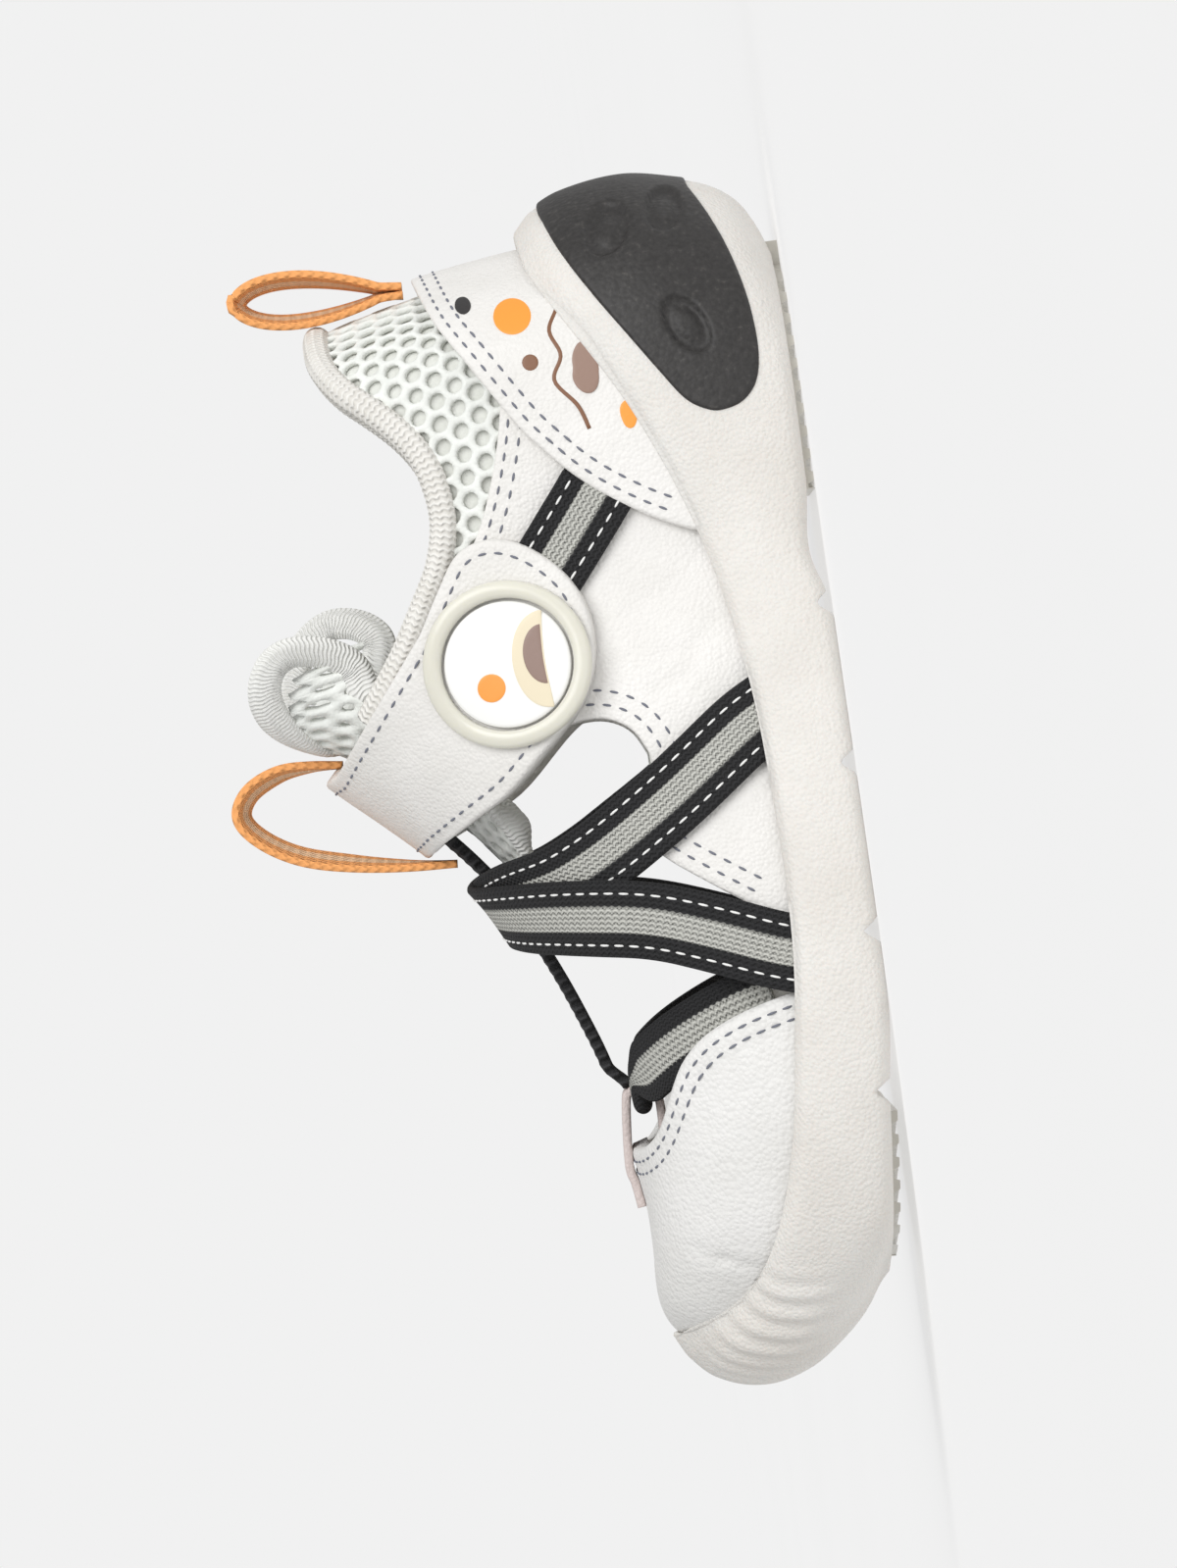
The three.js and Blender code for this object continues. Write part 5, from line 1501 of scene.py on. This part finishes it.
def make_tucked():
    """Band sewn under the toe leather's edge; it narrows to a roll where it passes the tab's eye."""
    deep = -LEATHER_WALL - GAP - WEBBING_THICKNESS / 2
    halves = []
    for side in (1, -1):
        uv = even_path(over, side_path(TUCKED_BAND, side), 0.6)
        xyz = over(*uv.T, deep)
        normal = slopes(over, uv, deep)[2]
        keep = np.abs(xyz[:, 1] - EYE[1]) > TAB_WIDTH / 2 + 3.0
        halves.append((xyz[keep], normal[keep]))
    reach = TAB_WIDTH / 2 + 0.6
    bridge = np.array([[EYE[0], EYE[1] + t, EYE[2]] for t in np.linspace(reach, -reach, 14)])
    up = np.tile([0.0, 0.0, 1.0], (14, 1))
    path = np.vstack([halves[0][0], bridge, halves[1][0][::-1]])
    normals = np.vstack([halves[0][1], up, halves[1][1][::-1]])
    run = run_of(path)
    at = np.linspace(0, run[-1], 170)
    path, normals = (smoothed(sampled(at, run, values), 13) for values in (path, normals))
    normals = unit(normals)
    tangent = heading(path)
    side = unit(np.cross(normals, tangent))
    normals = np.cross(tangent, side)
    rolled = 1 - smoothstep(np.abs(path[:, 1] - EYE[1]), reach, reach + 8.5)
    half = FRONT_WEBBING_WIDTH / 2 + (CORE_RADIUS * 1.15 - FRONT_WEBBING_WIDTH / 2) * rolled
    thick = WEBBING_THICKNESS / 2 + (CORE_RADIUS - WEBBING_THICKNESS / 2) * rolled
    power = 0.35 + 0.65 * rolled
    angles = np.linspace(0, 2 * math.pi, 28, endpoint=False)
    cos, sin = np.cos(angles)[None], np.sin(angles)[None]
    x = np.sign(cos) * np.abs(cos) ** power[:, None] * half[:, None]
    y = np.sign(sin) * np.abs(sin) ** power[:, None] * thick[:, None]
    points = path[:, None] + x[..., None] * side[:, None] + y[..., None] * normals[:, None]
    run = run_of(path)
    turn = np.sign(cos) * np.abs(cos) ** 0.5 * FRONT_WEBBING_WIDTH / 2
    uv = np.stack(np.broadcast_arrays(run[:, None], turn), -1)
    make("tucked_band", points.reshape(-1, 3), [f[::-1] for f in ringed(points)], FRONT_WEBBING,
         uv=uv.reshape(-1, 2), stands_for=("tucked_webbing",))


make_tucked()


def roll_path():
    layer = -LEATHER_WALL / 2
    line = TOP_EDGE[:-1] + [0, GAP + ROLL_WIDTH / 2]

    def half(side):
        us = np.linspace(0, 6.15, 60)
        climb = halved(us.shape, lambda share: under(form(us, side, share, layer), line))
        return form(us, side, climb, layer)

    path = np.vstack([half(1)[::-1], half(-1)[1:]])
    return path[path[:, 0] < 0.424 * LENGTH]


ROLL_PATH = evenly(roll_path(), 0.2)
_turns = np.arange(len(ROLL_PATH)) * 0.2 * 2 * math.pi / 0.8
tube("padded_binding", ROLL_PATH, ROLL_WIDTH / 2 + 0.045 * np.cos(_turns) - 0.02, KNIT, sides=18,
     stands_for=("collar_roll",))


def lattice(name, place, inside, low, high, pitch, hole, outer, inner, finish, wobble=0.0, **more):
    """Net of six-sided cells with round holes; place gives points for flat places and a layer."""
    random = np.random.default_rng(7)
    rise = pitch * math.sqrt(3) / 2
    cells = []
    for k, t in enumerate(np.arange(low[1], high[1], rise)):
        s = np.arange(low[0] + (k % 2) * pitch / 2, high[0], pitch)
        cells.append(np.stack([s, np.full(len(s), t)], -1))
    cells = np.vstack(cells)
    cells = cells[inside(cells)]
    angles = np.arange(12) * math.pi / 6
    rim = np.where(np.arange(12) % 2 == 0, pitch / 2, pitch / math.sqrt(3))
    flat, index, levels = [], {}, []
    depth = {"web": (outer, inner), "edge": (outer - 0.22, inner + 0.12)}
    faces = []

    def corner(s, t, kind, k):
        key = (round(s, 2), round(t, 2), kind, k)
        if key not in index:
            index[key] = len(flat)
            flat.append((s, t))
            levels.append(depth[kind][k])
        return index[key]

    edges = {}
    for s, t in cells:
        size = hole / 2 * (1 + wobble * random.uniform(-1, 1))
        drift = wobble * 0.25 * random.uniform(-1, 1, 2)
        boundary, ring = [], []
        for a, r in zip(angles, rim):
            boundary.append((s + r * math.cos(a), t + r * math.sin(a)))
            stretch = size * (1 + wobble * 0.35 * random.uniform(-1, 1))
            ring.append((s + drift[0] + stretch * math.cos(a), t + drift[1] + stretch * math.sin(a)))
        web = [[corner(*p, "web", k) for p in boundary] for k in (0, 1)]
        edge = []
        for k in (0, 1):
            edge.append(list(range(len(flat), len(flat) + 12)))
            flat.extend(ring)
            levels.extend([depth["edge"][k]] * 12)
        for i in range(12):
            j = (i + 1) % 12
            faces.append((web[0][j], web[0][i], edge[0][i], edge[0][j]))
            faces.append((edge[0][j], edge[0][i], edge[1][i], edge[1][j]))
            faces.append((edge[1][j], edge[1][i], web[1][i], web[1][j]))
            edges[(web[0][i], web[0][j])] = (web[1][i], web[1][j])
    for (i, j), (k, m) in edges.items():
        if (j, i) not in edges:
            faces.append((i, j, m, k))
    flat, levels = np.array(flat), np.array(levels)
    return make(name, place(*flat.T, levels), faces, finish, **more)


def make_collar_net():
    us = np.linspace(-7, 7, 561)
    middle = around(us, climb_at(us, 45.0, -0.6), -0.6)
    run = run_of(middle)
    run -= run[280]

    def place(s, t, level):
        u = np.interp(s, run, us)
        return around(u, climb_at(u, t, -0.6), level)

    def inside(cells):
        p = place(*cells.T, np.full(len(cells), -0.6))
        top, overlay, seam = (np.interp(p[:, 0], line[:, 0], line[:, 1])
                              for line in (TOP_EDGE, OVERLAY_EDGE, SEAM_EDGE))
        ceiling = top + 1.4
        floor = np.where(p[:, 0] < 22, overlay - 3.4, seam - 2.4)
        return (p[:, 2] < ceiling) & (p[:, 2] > floor) & (p[:, 0] < 48.5)

    lattice("collar_net", place, inside, (run[60], 32), (run[-60], 58), 2.85, 2.12, -MESH_STEP,
            -LEATHER_WALL + THIN_LINING + 0.1, MESH, wobble=0.05, stands_for=("upper",))


make_collar_net()


def make_tongue():
    layer = -LEATHER_WALL - 3 * GAP - TONGUE_THICKNESS / 2
    acrosses = np.linspace(-1, 1, 41)
    rows = []
    for k in range(7):
        value = {name: column[k] for name, column in TONGUE.items()}
        turn = np.abs(acrosses) * math.pi / 2
        share = np.cos(turn)
        edge = np.where(acrosses > 0, value["edge"], value["inner"]) * LENGTH
        x = edge + (value["centre"] * LENGTH - edge) * share
        y = np.sign(acrosses) * value["half"] * BALL_WIDTH * np.sin(turn)
        if value["up"] == 0:
            y = y + float(ridge_point(value["centre"] * LENGTH, 0)[1])
            z = skin_height(x, y, layer)
        else:
            edge_z = np.where(acrosses > 0, value["edge_up"], value["inner_up"]) * INSTEP_HEIGHT
            lobe = value["lobe"] * INSTEP_HEIGHT * 2 * np.sqrt(np.clip(share * (1 - share), 0, 1))
            z = edge_z + (value["up"] * INSTEP_HEIGHT - edge_z) * share + lobe
        rows.append(np.stack([x, y, z], -1))
    rows = np.array(rows)
    dense = np.stack([spline(rows[:, j], 12) for j in range(41)], 1)
    r_axis = np.linspace(0, 6, dense.shape[0])

    def at(r, c):
        r, c = np.clip(r, 0, 6), np.clip(c, -1, 1)
        i = np.clip(np.interp(r, r_axis, np.arange(len(r_axis))), 0, len(r_axis) - 1.001)
        j = np.clip((c + 1) * 20, 0, 39.999)
        i0, j0 = i.astype(int), j.astype(int)
        fi, fj = (i - i0)[..., None], (j - j0)[..., None]
        return ((dense[i0, j0] * (1 - fi) + dense[i0 + 1, j0] * fi) * (1 - fj)
                + (dense[i0, j0 + 1] * (1 - fi) + dense[i0 + 1, j0 + 1] * fi) * fj)

    def surface(r, c, level):
        e = 0.02
        p = at(r, c)
        dr = at(np.minimum(r + e, 6), c) - at(np.maximum(r - e, 0), c)
        dc = at(r, np.minimum(c + e, 1)) - at(r, np.maximum(c - e, -1))
        return p + unit(np.cross(dr, dc)) * np.asarray(level)[..., None]

    middle = at(r_axis, np.zeros(len(r_axis)))
    run = run_of(middle)

    def flat_width(r):
        edge = at(np.repeat(r[:, None], 21, 1), np.repeat(np.linspace(-1, 1, 21)[None], len(r), 0))
        return np.linalg.norm(np.diff(edge, axis=1), axis=2).sum(1) / 2

    half = flat_width(r_axis)

    def place(s, t, level):
        r = np.interp(t, run, r_axis)
        c = s / np.interp(t, run, half)
        return surface(r, c, level)

    def inside(cells):
        width = np.interp(cells[:, 1], run, half)
        return ((np.abs(cells[:, 0]) < width - 1.2) & (cells[:, 1] > 3.2)
                & (cells[:, 1] < run[-1] - 1.2))

    lattice("tongue_net", place, inside, (-22, 0.5), (22, run[-1]), 2.6, 1.35, 0.72, -0.72, MESH,
            wobble=0.28, stands_for=("tongue",))
    corners = [(0.45, 0.0), (0.5, 0.55), (0.85, 0.9), (1.6, 1.0), (3.2, 1.0), (4.7, 1.0),
               (5.35, 0.985), (5.8, 0.94), (5.98, 0.86), (6.0, 0.74), (6.0, 0.55), (6.0, 0.3),
               (6.0, 0.0)]
    loop = corners + [(r, -c) for r, c in corners[-2:0:-1]]
    loop = np.array(loop + loop[:1])
    edge = np.vstack([loop[-3:-1], loop, loop[1:3]])
    edge = spline(edge, 24)[48:-48]
    length_of = run_of(at(*edge.T))
    steps = int(length_of[-1] / 0.3)
    even = np.linspace(0, length_of[-1], steps, endpoint=False)
    r, c = sampled(even, length_of, edge).T
    path = smoothed(at(r, c), 13, closed=True)
    normal = unit(smoothed(surface(r, c, np.ones(steps)) - at(r, c), 13, closed=True))
    tangent = heading(path, closed=True)
    side = unit(np.cross(normal, tangent))
    inward = np.sign(((at(np.full(1, 3.0), np.zeros(1)) - path) * side).sum(1).mean())
    side = side * inward
    normal = np.cross(tangent, side)
    ring = []
    for a in np.linspace(0, 2 * math.pi, 22, endpoint=False):
        wide = 1.45 + 2.1 * math.cos(a)
        thick = 1.1 * math.sin(a)
        slant = 0.05 * np.cos((even + 0.6 * wide) * 2 * math.pi / 0.9) * math.sin(a)
        ring.append(path + side * wide + normal * (thick + slant)[:, None])
    points = np.stack(ring, 1)
    faces = ringed(points, True)
    if inward < 0:
        faces = [f[::-1] for f in faces]
    share = np.arange(len(ring)) / len(ring)
    uv = np.stack(np.broadcast_arrays(even[:, None] + 0.6 * np.cos(share * 2 * math.pi), share), -1)
    make("tongue_rim", points.reshape(-1, 3), faces, RIM_KNIT, uv=uv.reshape(-1, 2),
         wraps=True, stands_for=("tongue",))


def skin_height(x, y, layer):
    """Height of the last's skin over places seen from above."""
    side = np.where(y >= 0, 1.0, -1.0)
    low_u, high_u = np.zeros(x.shape), np.full(x.shape, float(LAST_ROW))
    for _ in range(26):
        u = (low_u + high_u) / 2
        low_c, high_c = np.zeros(x.shape), np.ones(x.shape)
        for _ in range(26):
            climb = (low_c + high_c) / 2
            p = form(u, side, climb, layer)
            flat = np.abs(p[..., 1]) > np.abs(y)
            low_c, high_c = np.where(flat, climb, low_c), np.where(flat, high_c, climb)
        near = p[..., 0] < x
        low_u, high_u = np.where(near, u, low_u), np.where(near, high_u, u)
    return p[..., 2]


make_tongue()


def leaning(path, degrees):
    """Directions across a ribbon that lean most halfway along it."""
    normal = np.cross(heading(path), [0, 1, 0])
    share = np.linspace(0, 1, len(path))
    lean = np.radians(degrees) * smoothstep(share, 0, 0.3) * (1 - smoothstep(share, 0.7, 1))
    out = np.sign((normal * (path - path.mean(0))).sum(1).mean())
    return np.array([0, 1, 0]) * np.cos(lean)[:, None] + out * normal * np.sin(lean)[:, None]


def make_pull_loops():
    back = form(0, 1, 0.32, GAP + OVERLAY_THICKNESS / 2)
    base_x, base_z = float(back[0]) + GAP, 0.765 * COLLAR_HEIGHT + GAP
    height, width, lean = 21.5 - RIBBON_THICKNESS / 2, 6.2, -0.05
    path = []
    for i in range(49):
        a = 2 * math.pi * i / 48
        z = 0.4 + (height - 0.4) * (1 - math.cos(a)) / 2
        side = 1 if i < 24 else -1
        out = width * 0.65 * abs(math.sin(a) * math.sin(a / 2)) - RIBBON_THICKNESS / 2
        path.append([base_x + side * max(out, 0.52) + z * lean, 0.0, base_z + z])
    heel = spline(path, 3)
    tongue = spline([(a * LENGTH, 0.0, b * INSTEP_HEIGHT) for a, b in TONGUE_LOOP], 10)
    for word, line, degrees in (("heel", heel, 16), ("tongue", tongue, 20)):
        ribbon(f"{word}_pull", line, leaning(line, degrees), RIBBON_WIDTH, RIBBON_THICKNESS, RIBBON,
               stands_for=(f"{word}_loop",))


make_pull_loops()


def round_piece(name, profile, finish, capped=False, steps=96, **more):
    """Turned piece on the strap from rows of (radius, layer): a ring, or a disc if capped."""
    angles = np.linspace(0, 2 * math.pi, steps, endpoint=False)
    rings = []
    for radius, level in profile:
        line = np.stack([BADGE[0] + radius * np.cos(angles), BADGE[1] + radius * np.sin(angles)], -1)
        uv = locate(line, 1, GAP + STRAP_THICKNESS)
        rings.append(over(*uv.T, level))
    faces = joined_rings(len(rings), steps, closed=not capped)
    if capped:
        rings += [rings[0].mean(0)[None], rings[-1].mean(0)[None]]
        last = (len(profile) - 1) * steps
        low = last + steps
        for i in range(steps):
            j = (i + 1) % steps
            faces.append((j, i, low))
            faces.append((last + i, last + j, low + 1))
    make(name, np.vstack(rings), faces, finish, **more)


BADGE = (0.387 * LENGTH, 0.663 * INSTEP_HEIGHT)
_base = 2 * GAP + STRAP_THICKNESS
_inner = BADGE_RADIUS - RING_WIDTH
_disc = _inner - GAP
round_piece("badge_rim", [
    (_inner + 0.15, _base), (_inner, _base + 0.5), (_inner + 0.12, _base + 1.05),
    (_inner + 0.5, _base + 1.34), (_inner + 1.1, _base + 1.4), (BADGE_RADIUS - 0.5, _base + 1.3),
    (BADGE_RADIUS - 0.12, _base + 0.95), (BADGE_RADIUS, _base + 0.5), (BADGE_RADIUS - 0.2, _base),
], RING_PLASTIC, stands_for=("badge_ring",))
round_piece("badge_window", [
    (0.6, _base), (3.0, _base), (5.6, _base), (_disc - 0.1, _base), (_disc, _base + 0.35),
    (_disc - 0.12, _base + 0.6), (_disc - 0.5, _base + 0.7), (5.8, _base + 0.74),
    (4.2, _base + 0.77), (2.4, _base + 0.79), (0.8, _base + 0.8),
], WINDOW, capped=True, stands_for=("badge_disc",))


def treads():
    """Clear tread plates with cross ribs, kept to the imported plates' outline."""
    places = loop_places()
    half = len(places) // 2
    edge = sole_side(places, 0.0, -TREAD_INSET)
    outer, inner = edge[:half + 1], edge[half:][::-1]
    for name, low, high in (("heel_tread", 0.07, 0.28), ("forefoot_tread", 0.787, 0.927)):
        tip = min(outer[:, 0].max(), inner[:, 0].max()) - 0.1
        xs = np.arange(low * LENGTH, min(high * LENGTH, tip) + 0.01, 0.2)
        y0 = np.interp(xs, outer[:, 0], outer[:, 1])
        y1 = np.interp(xs, inner[:, 0], inner[:, 1])
        across = np.linspace(0, 1, 25)
        rows = []
        for level in (0, 1):
            for f in across:
                yy = y0 + (y1 - y0) * f
                skew = 1.6 * math.cos(2 * math.pi * f)
                wave = np.cos((xs + skew) * 2 * math.pi / 2.8)
                depth = 0.75 * smoothstep(-wave, -0.35, 0.35)
                depth[[0, -1]] = 0.0
                z = spring_at(xs) + (TREAD_THICKNESS if level else depth)
                rows.append(np.stack([xs, yy, z], -1))
        count = len(xs)
        points = np.vstack(rows)
        faces = []
        wide = len(across)

        def at(level, j, i):
            return (level * wide + j) * count + i

        for i in range(count - 1):
            for j in range(wide - 1):
                quad = [(j, i), (j + 1, i), (j + 1, i + 1), (j, i + 1)]
                faces.append(tuple(at(0, *q) for q in quad))
                faces.append(tuple(at(1, *q) for q in quad)[::-1])
            for j, flip in ((0, 1), (wide - 1, -1)):
                faces.append((at(0, j, i), at(0, j, i + 1), at(1, j, i + 1), at(1, j, i))[::flip])
        for j in range(wide - 1):
            for i, flip in ((0, -1), (count - 1, 1)):
                faces.append((at(0, j, i), at(0, j + 1, i), at(1, j + 1, i), at(1, j, i))[::flip])
        make(f"{name}_ribs", points, faces, TREAD, stands_for=(name,), smooth=False)


treads()


def on_row(chart, uv, distance, layer):
    """Stitch row at a distance beside a line of a chart."""
    path = even_path(chart, uv, 0.5, layer)
    path = beside(chart, path, distance, layer)
    for _ in range(2):
        path[1:-1] = 0.25 * path[:-2] + 0.5 * path[1:-1] + 0.25 * path[2:]
    return on_surface(chart, path, layer)


def stitch_everything():
    overlay = GAP + OVERLAY_THICKNESS
    top = graph_line(OVERLAY_EDGE, 5.0, overlay)
    low = around(*top.T, overlay)
    top = top[low[:, 2] > 17]
    rows = [on_row(around, top, d, overlay) for d in (1.4, 3.0)]
    seam = SEAM_EDGE[(SEAM_EDGE[:, 0] > 24.5) & (SEAM_EDGE[:, 0] < 46)]
    front = FRONT_EDGE[(FRONT_EDGE[:, 1] < 37) & (FRONT_EDGE[:, 1] > 14.2)]
    for side in (1, -1):
        uv = locate(seam, side)
        uv[:, 0] *= side
        uv = uv[np.argsort(uv[:, 0])]
        rows += [on_row(around, uv, d, 0.0) for d in (1.2, 2.7)]
        uv = locate(front, side)
        uv[:, 0] *= side
        rows += [on_row(around, uv, side * d, 0.0) for d in (1.7, 3.4)]
    strap = GAP + STRAP_THICKNESS
    outer = STRAP_OUTER_UV
    inner = STRAP_INNER_UV[::-1]
    rows.append(on_row(over, np.vstack([outer, inner[1:-1], outer[:1]]), 1.7, strap))
    rows += [on_row(over, TOE_EDGE_UV, d, 0.0) for d in (1.5, 3.1)]
    stitches("leather_stitches", rows, DARK_THREAD)
    stitches("webbing_stitches", WEBBING_ROWS, WHITE_THREAD, long=1.45, thick=0.15)


stitch_everything()


def decal(name, centre, shape, finish, side):
    """Printed patch on the heel overlay; shape gives offsets in millimetres, seen from the side."""
    layer = GAP + OVERLAY_THICKNESS
    uv = locate(np.asarray(centre) + shape, side, layer)
    uv[:, 0] *= side
    sheet(name, around, uv, layer + 0.05, layer - 0.1, finish, spacing=0.35, round_edge=0.03)


def blob(radii, steps=48):
    """Soft closed outline whose radius follows a short list of values."""
    turn = np.linspace(0, 2 * math.pi, steps, endpoint=False)
    wave = np.interp(turn, np.linspace(0, 2 * math.pi, len(radii) + 1), list(radii) + [radii[0]])
    kernel = np.ones(5) / 5
    wave = np.convolve(np.r_[wave[-2:], wave, wave[:2]], kernel, "valid")
    return np.stack([wave * np.cos(turn), wave * np.sin(turn)], -1)


def prints():
    orange = painted("orange_print", linear(244, 158, 60))
    brown = painted("brown_print", linear(128, 88, 62))
    black = painted("black_print", linear(46, 44, 44))
    mauve = painted("mauve_print", linear(150, 122, 108))
    patches = (("sun", (16.0, 33.6), [2.3] * 8, orange),
               ("hill", (23.4, 25.4), [3.6, 2.6, 1.6, 2.2, 3.4, 1.6, 1.3, 1.6], mauve),
               ("seed", (13.4, 39.4), [1.5, 0.9, 0.8, 0.9], black),
               ("drop", (29.6, 21.2), [2.3, 1.2, 1.0, 1.2, 1.5, 1.2, 1.0, 1.2], orange),
               ("dot", (22.0, 32.2), [1.0] * 8, brown))
    wave = polyline((12.0, 30.0), (15.0, 28.0), (18.4, 29.4), (21.6, 28.4), (24.6, 29.6),
                    (28.0, 27.2), (31.0, 26.2))
    for side, word in ((1, "outer"), (-1, "inner")):
        for shape, centre, radii, finish in patches:
            decal(f"print_{shape}_{word}", centre, blob(radii), finish, side)
        uv = locate(evenly(spline(wave, 8), 0.5), side, GAP + OVERLAY_THICKNESS)
        uv[:, 0] *= side
        band(f"print_wave_{word}", around, uv, 0.5, GAP + OVERLAY_THICKNESS - 0.12, 0.18, brown,
             across=2)


prints()


def window_figure():
    """Small plain figure seen through the badge's window: a mound, its core and a ball."""
    cream = painted("cream_paint", linear(232, 220, 192))
    mauve = painted("mauve_paint", linear(146, 122, 112))
    orange = painted("orange_paint", linear(246, 160, 72))
    layer = 2 * GAP + STRAP_THICKNESS + 0.78
    turn = np.linspace(0, math.pi, 40)
    mound = np.stack([5.9 * np.cos(turn), 4.3 * np.sin(turn) ** 0.9 - 5.0], -1)
    inner = np.stack([3.6 * np.cos(turn) - 0.6, 2.5 * np.sin(turn) - 4.6], -1)
    ball = np.stack([1.7 * np.cos(turn * 2) + 2.6, 1.7 * np.sin(turn * 2) + 2.2], -1)
    for name, shape, finish, rise in (("figure_mound", mound, cream, 0.05),
                                      ("figure_core", inner, mauve, 0.1),
                                      ("figure_ball", ball[:-1], orange, 0.05)):
        uv = locate(np.asarray(BADGE) + shape, 1, GAP + STRAP_THICKNESS)
        sheet(name, over, uv, layer + rise, layer - 0.1, finish, spacing=0.4, round_edge=0.02)


window_figure()


# Light: even from all round, a soft sun from above the toe, and a floor that glows up to the backdrop
SKY_STRENGTH = 0.54
SUN_STRENGTH = 1.8
SUN_ANGLE = 0.7
SUN_FROM = (-0.45, 0.75, 0.5)
FLOOR_GLOW = 0.537
BACKDROP = linear(241, 241, 241)


def stage_floor():
    mesh = bpy.data.meshes.new("floor")
    size = 6.0
    grey = (0.42, 0.42, 0.42)
    mesh.from_pydata([(-size, -size, 0), (size, -size, 0), (size, size, 0), (-size, size, 0)], [],
                     [(0, 1, 2, 3)])
    floor = bpy.data.objects.new("floor", mesh)
    bpy.context.scene.collection.objects.link(floor)
    finish = material("floor_white", "leather", grey, 1.0)
    mottled(finish, 400.0, grey, (0.41, 0.41, 0.41))
    finish["shader"].inputs["Specular IOR Level"].default_value = 0.0
    finish["shader"].inputs["Emission Color"].default_value = (1, 1, 1, 1)
    finish["shader"].inputs["Emission Strength"].default_value = FLOOR_GLOW
    mesh.materials.append(finish["material"])


stage_floor()

scene = bpy.context.scene
scene.view_settings.view_transform = "Standard"
world = bpy.data.worlds.new("studio")
scene.world = world
world.use_nodes = True
world.node_tree.nodes.clear()
_studio = {"tree": world.node_tree}
_light = node(_studio, "Background", {"Color": (1, 1, 1, 1), "Strength": SKY_STRENGTH})
_seen = node(_studio, "Background", {"Color": (*BACKDROP, 1)})
_seen_by_camera = node(_studio, "LightPath").outputs["Is Camera Ray"]
_pick = node(_studio, "MixShader", {0: _seen_by_camera, 1: _light.outputs[0], 2: _seen.outputs[0]})
node(_studio, "OutputWorld", {"Surface": _pick.outputs[0]})

sun = bpy.data.lights.new("key", "SUN")
sun.energy = SUN_STRENGTH
sun.angle = SUN_ANGLE
sun_object = bpy.data.objects.new("key", sun)
scene.collection.objects.link(sun_object)
sun_object.rotation_euler = Vector(SUN_FROM).to_track_quat("Z", "Y").to_euler()

# Camera on the outer side, rolled so that the toe points down as in the photo
TILT = math.radians(8)
PIXELS_PER_MM = 8.27
PHOTO_HEIGHT = 1599
AIM_RIGHT = 43.5
AIM_UP = 15
FRAME_HEIGHT = PHOTO_HEIGHT / PIXELS_PER_MM
DISTANCE = 1500.0
right = Vector((math.sin(TILT), 0, -math.cos(TILT)))
down = Vector((math.cos(TILT), 0, math.sin(TILT)))
low, high = cad_box
middle = (Vector(low) + Vector(high)) / 2
aim = middle + (right * AIM_RIGHT - down * AIM_UP) / PIXELS_PER_MM / 1000
camera = bpy.data.cameras.new("camera")
camera.sensor_fit = "VERTICAL"
camera.sensor_height = 24
camera.lens = 24 * DISTANCE / FRAME_HEIGHT
camera.clip_start = 0.05
camera.clip_end = 50
camera_object = bpy.data.objects.new("camera", camera)
scene.collection.objects.link(camera_object)
turn = Matrix((right, -down, Vector((0, 1, 0)))).transposed().to_4x4()
camera_object.matrix_world = Matrix.Translation(aim + Vector((0, DISTANCE / 1000, 0))) @ turn
scene.camera = camera_object
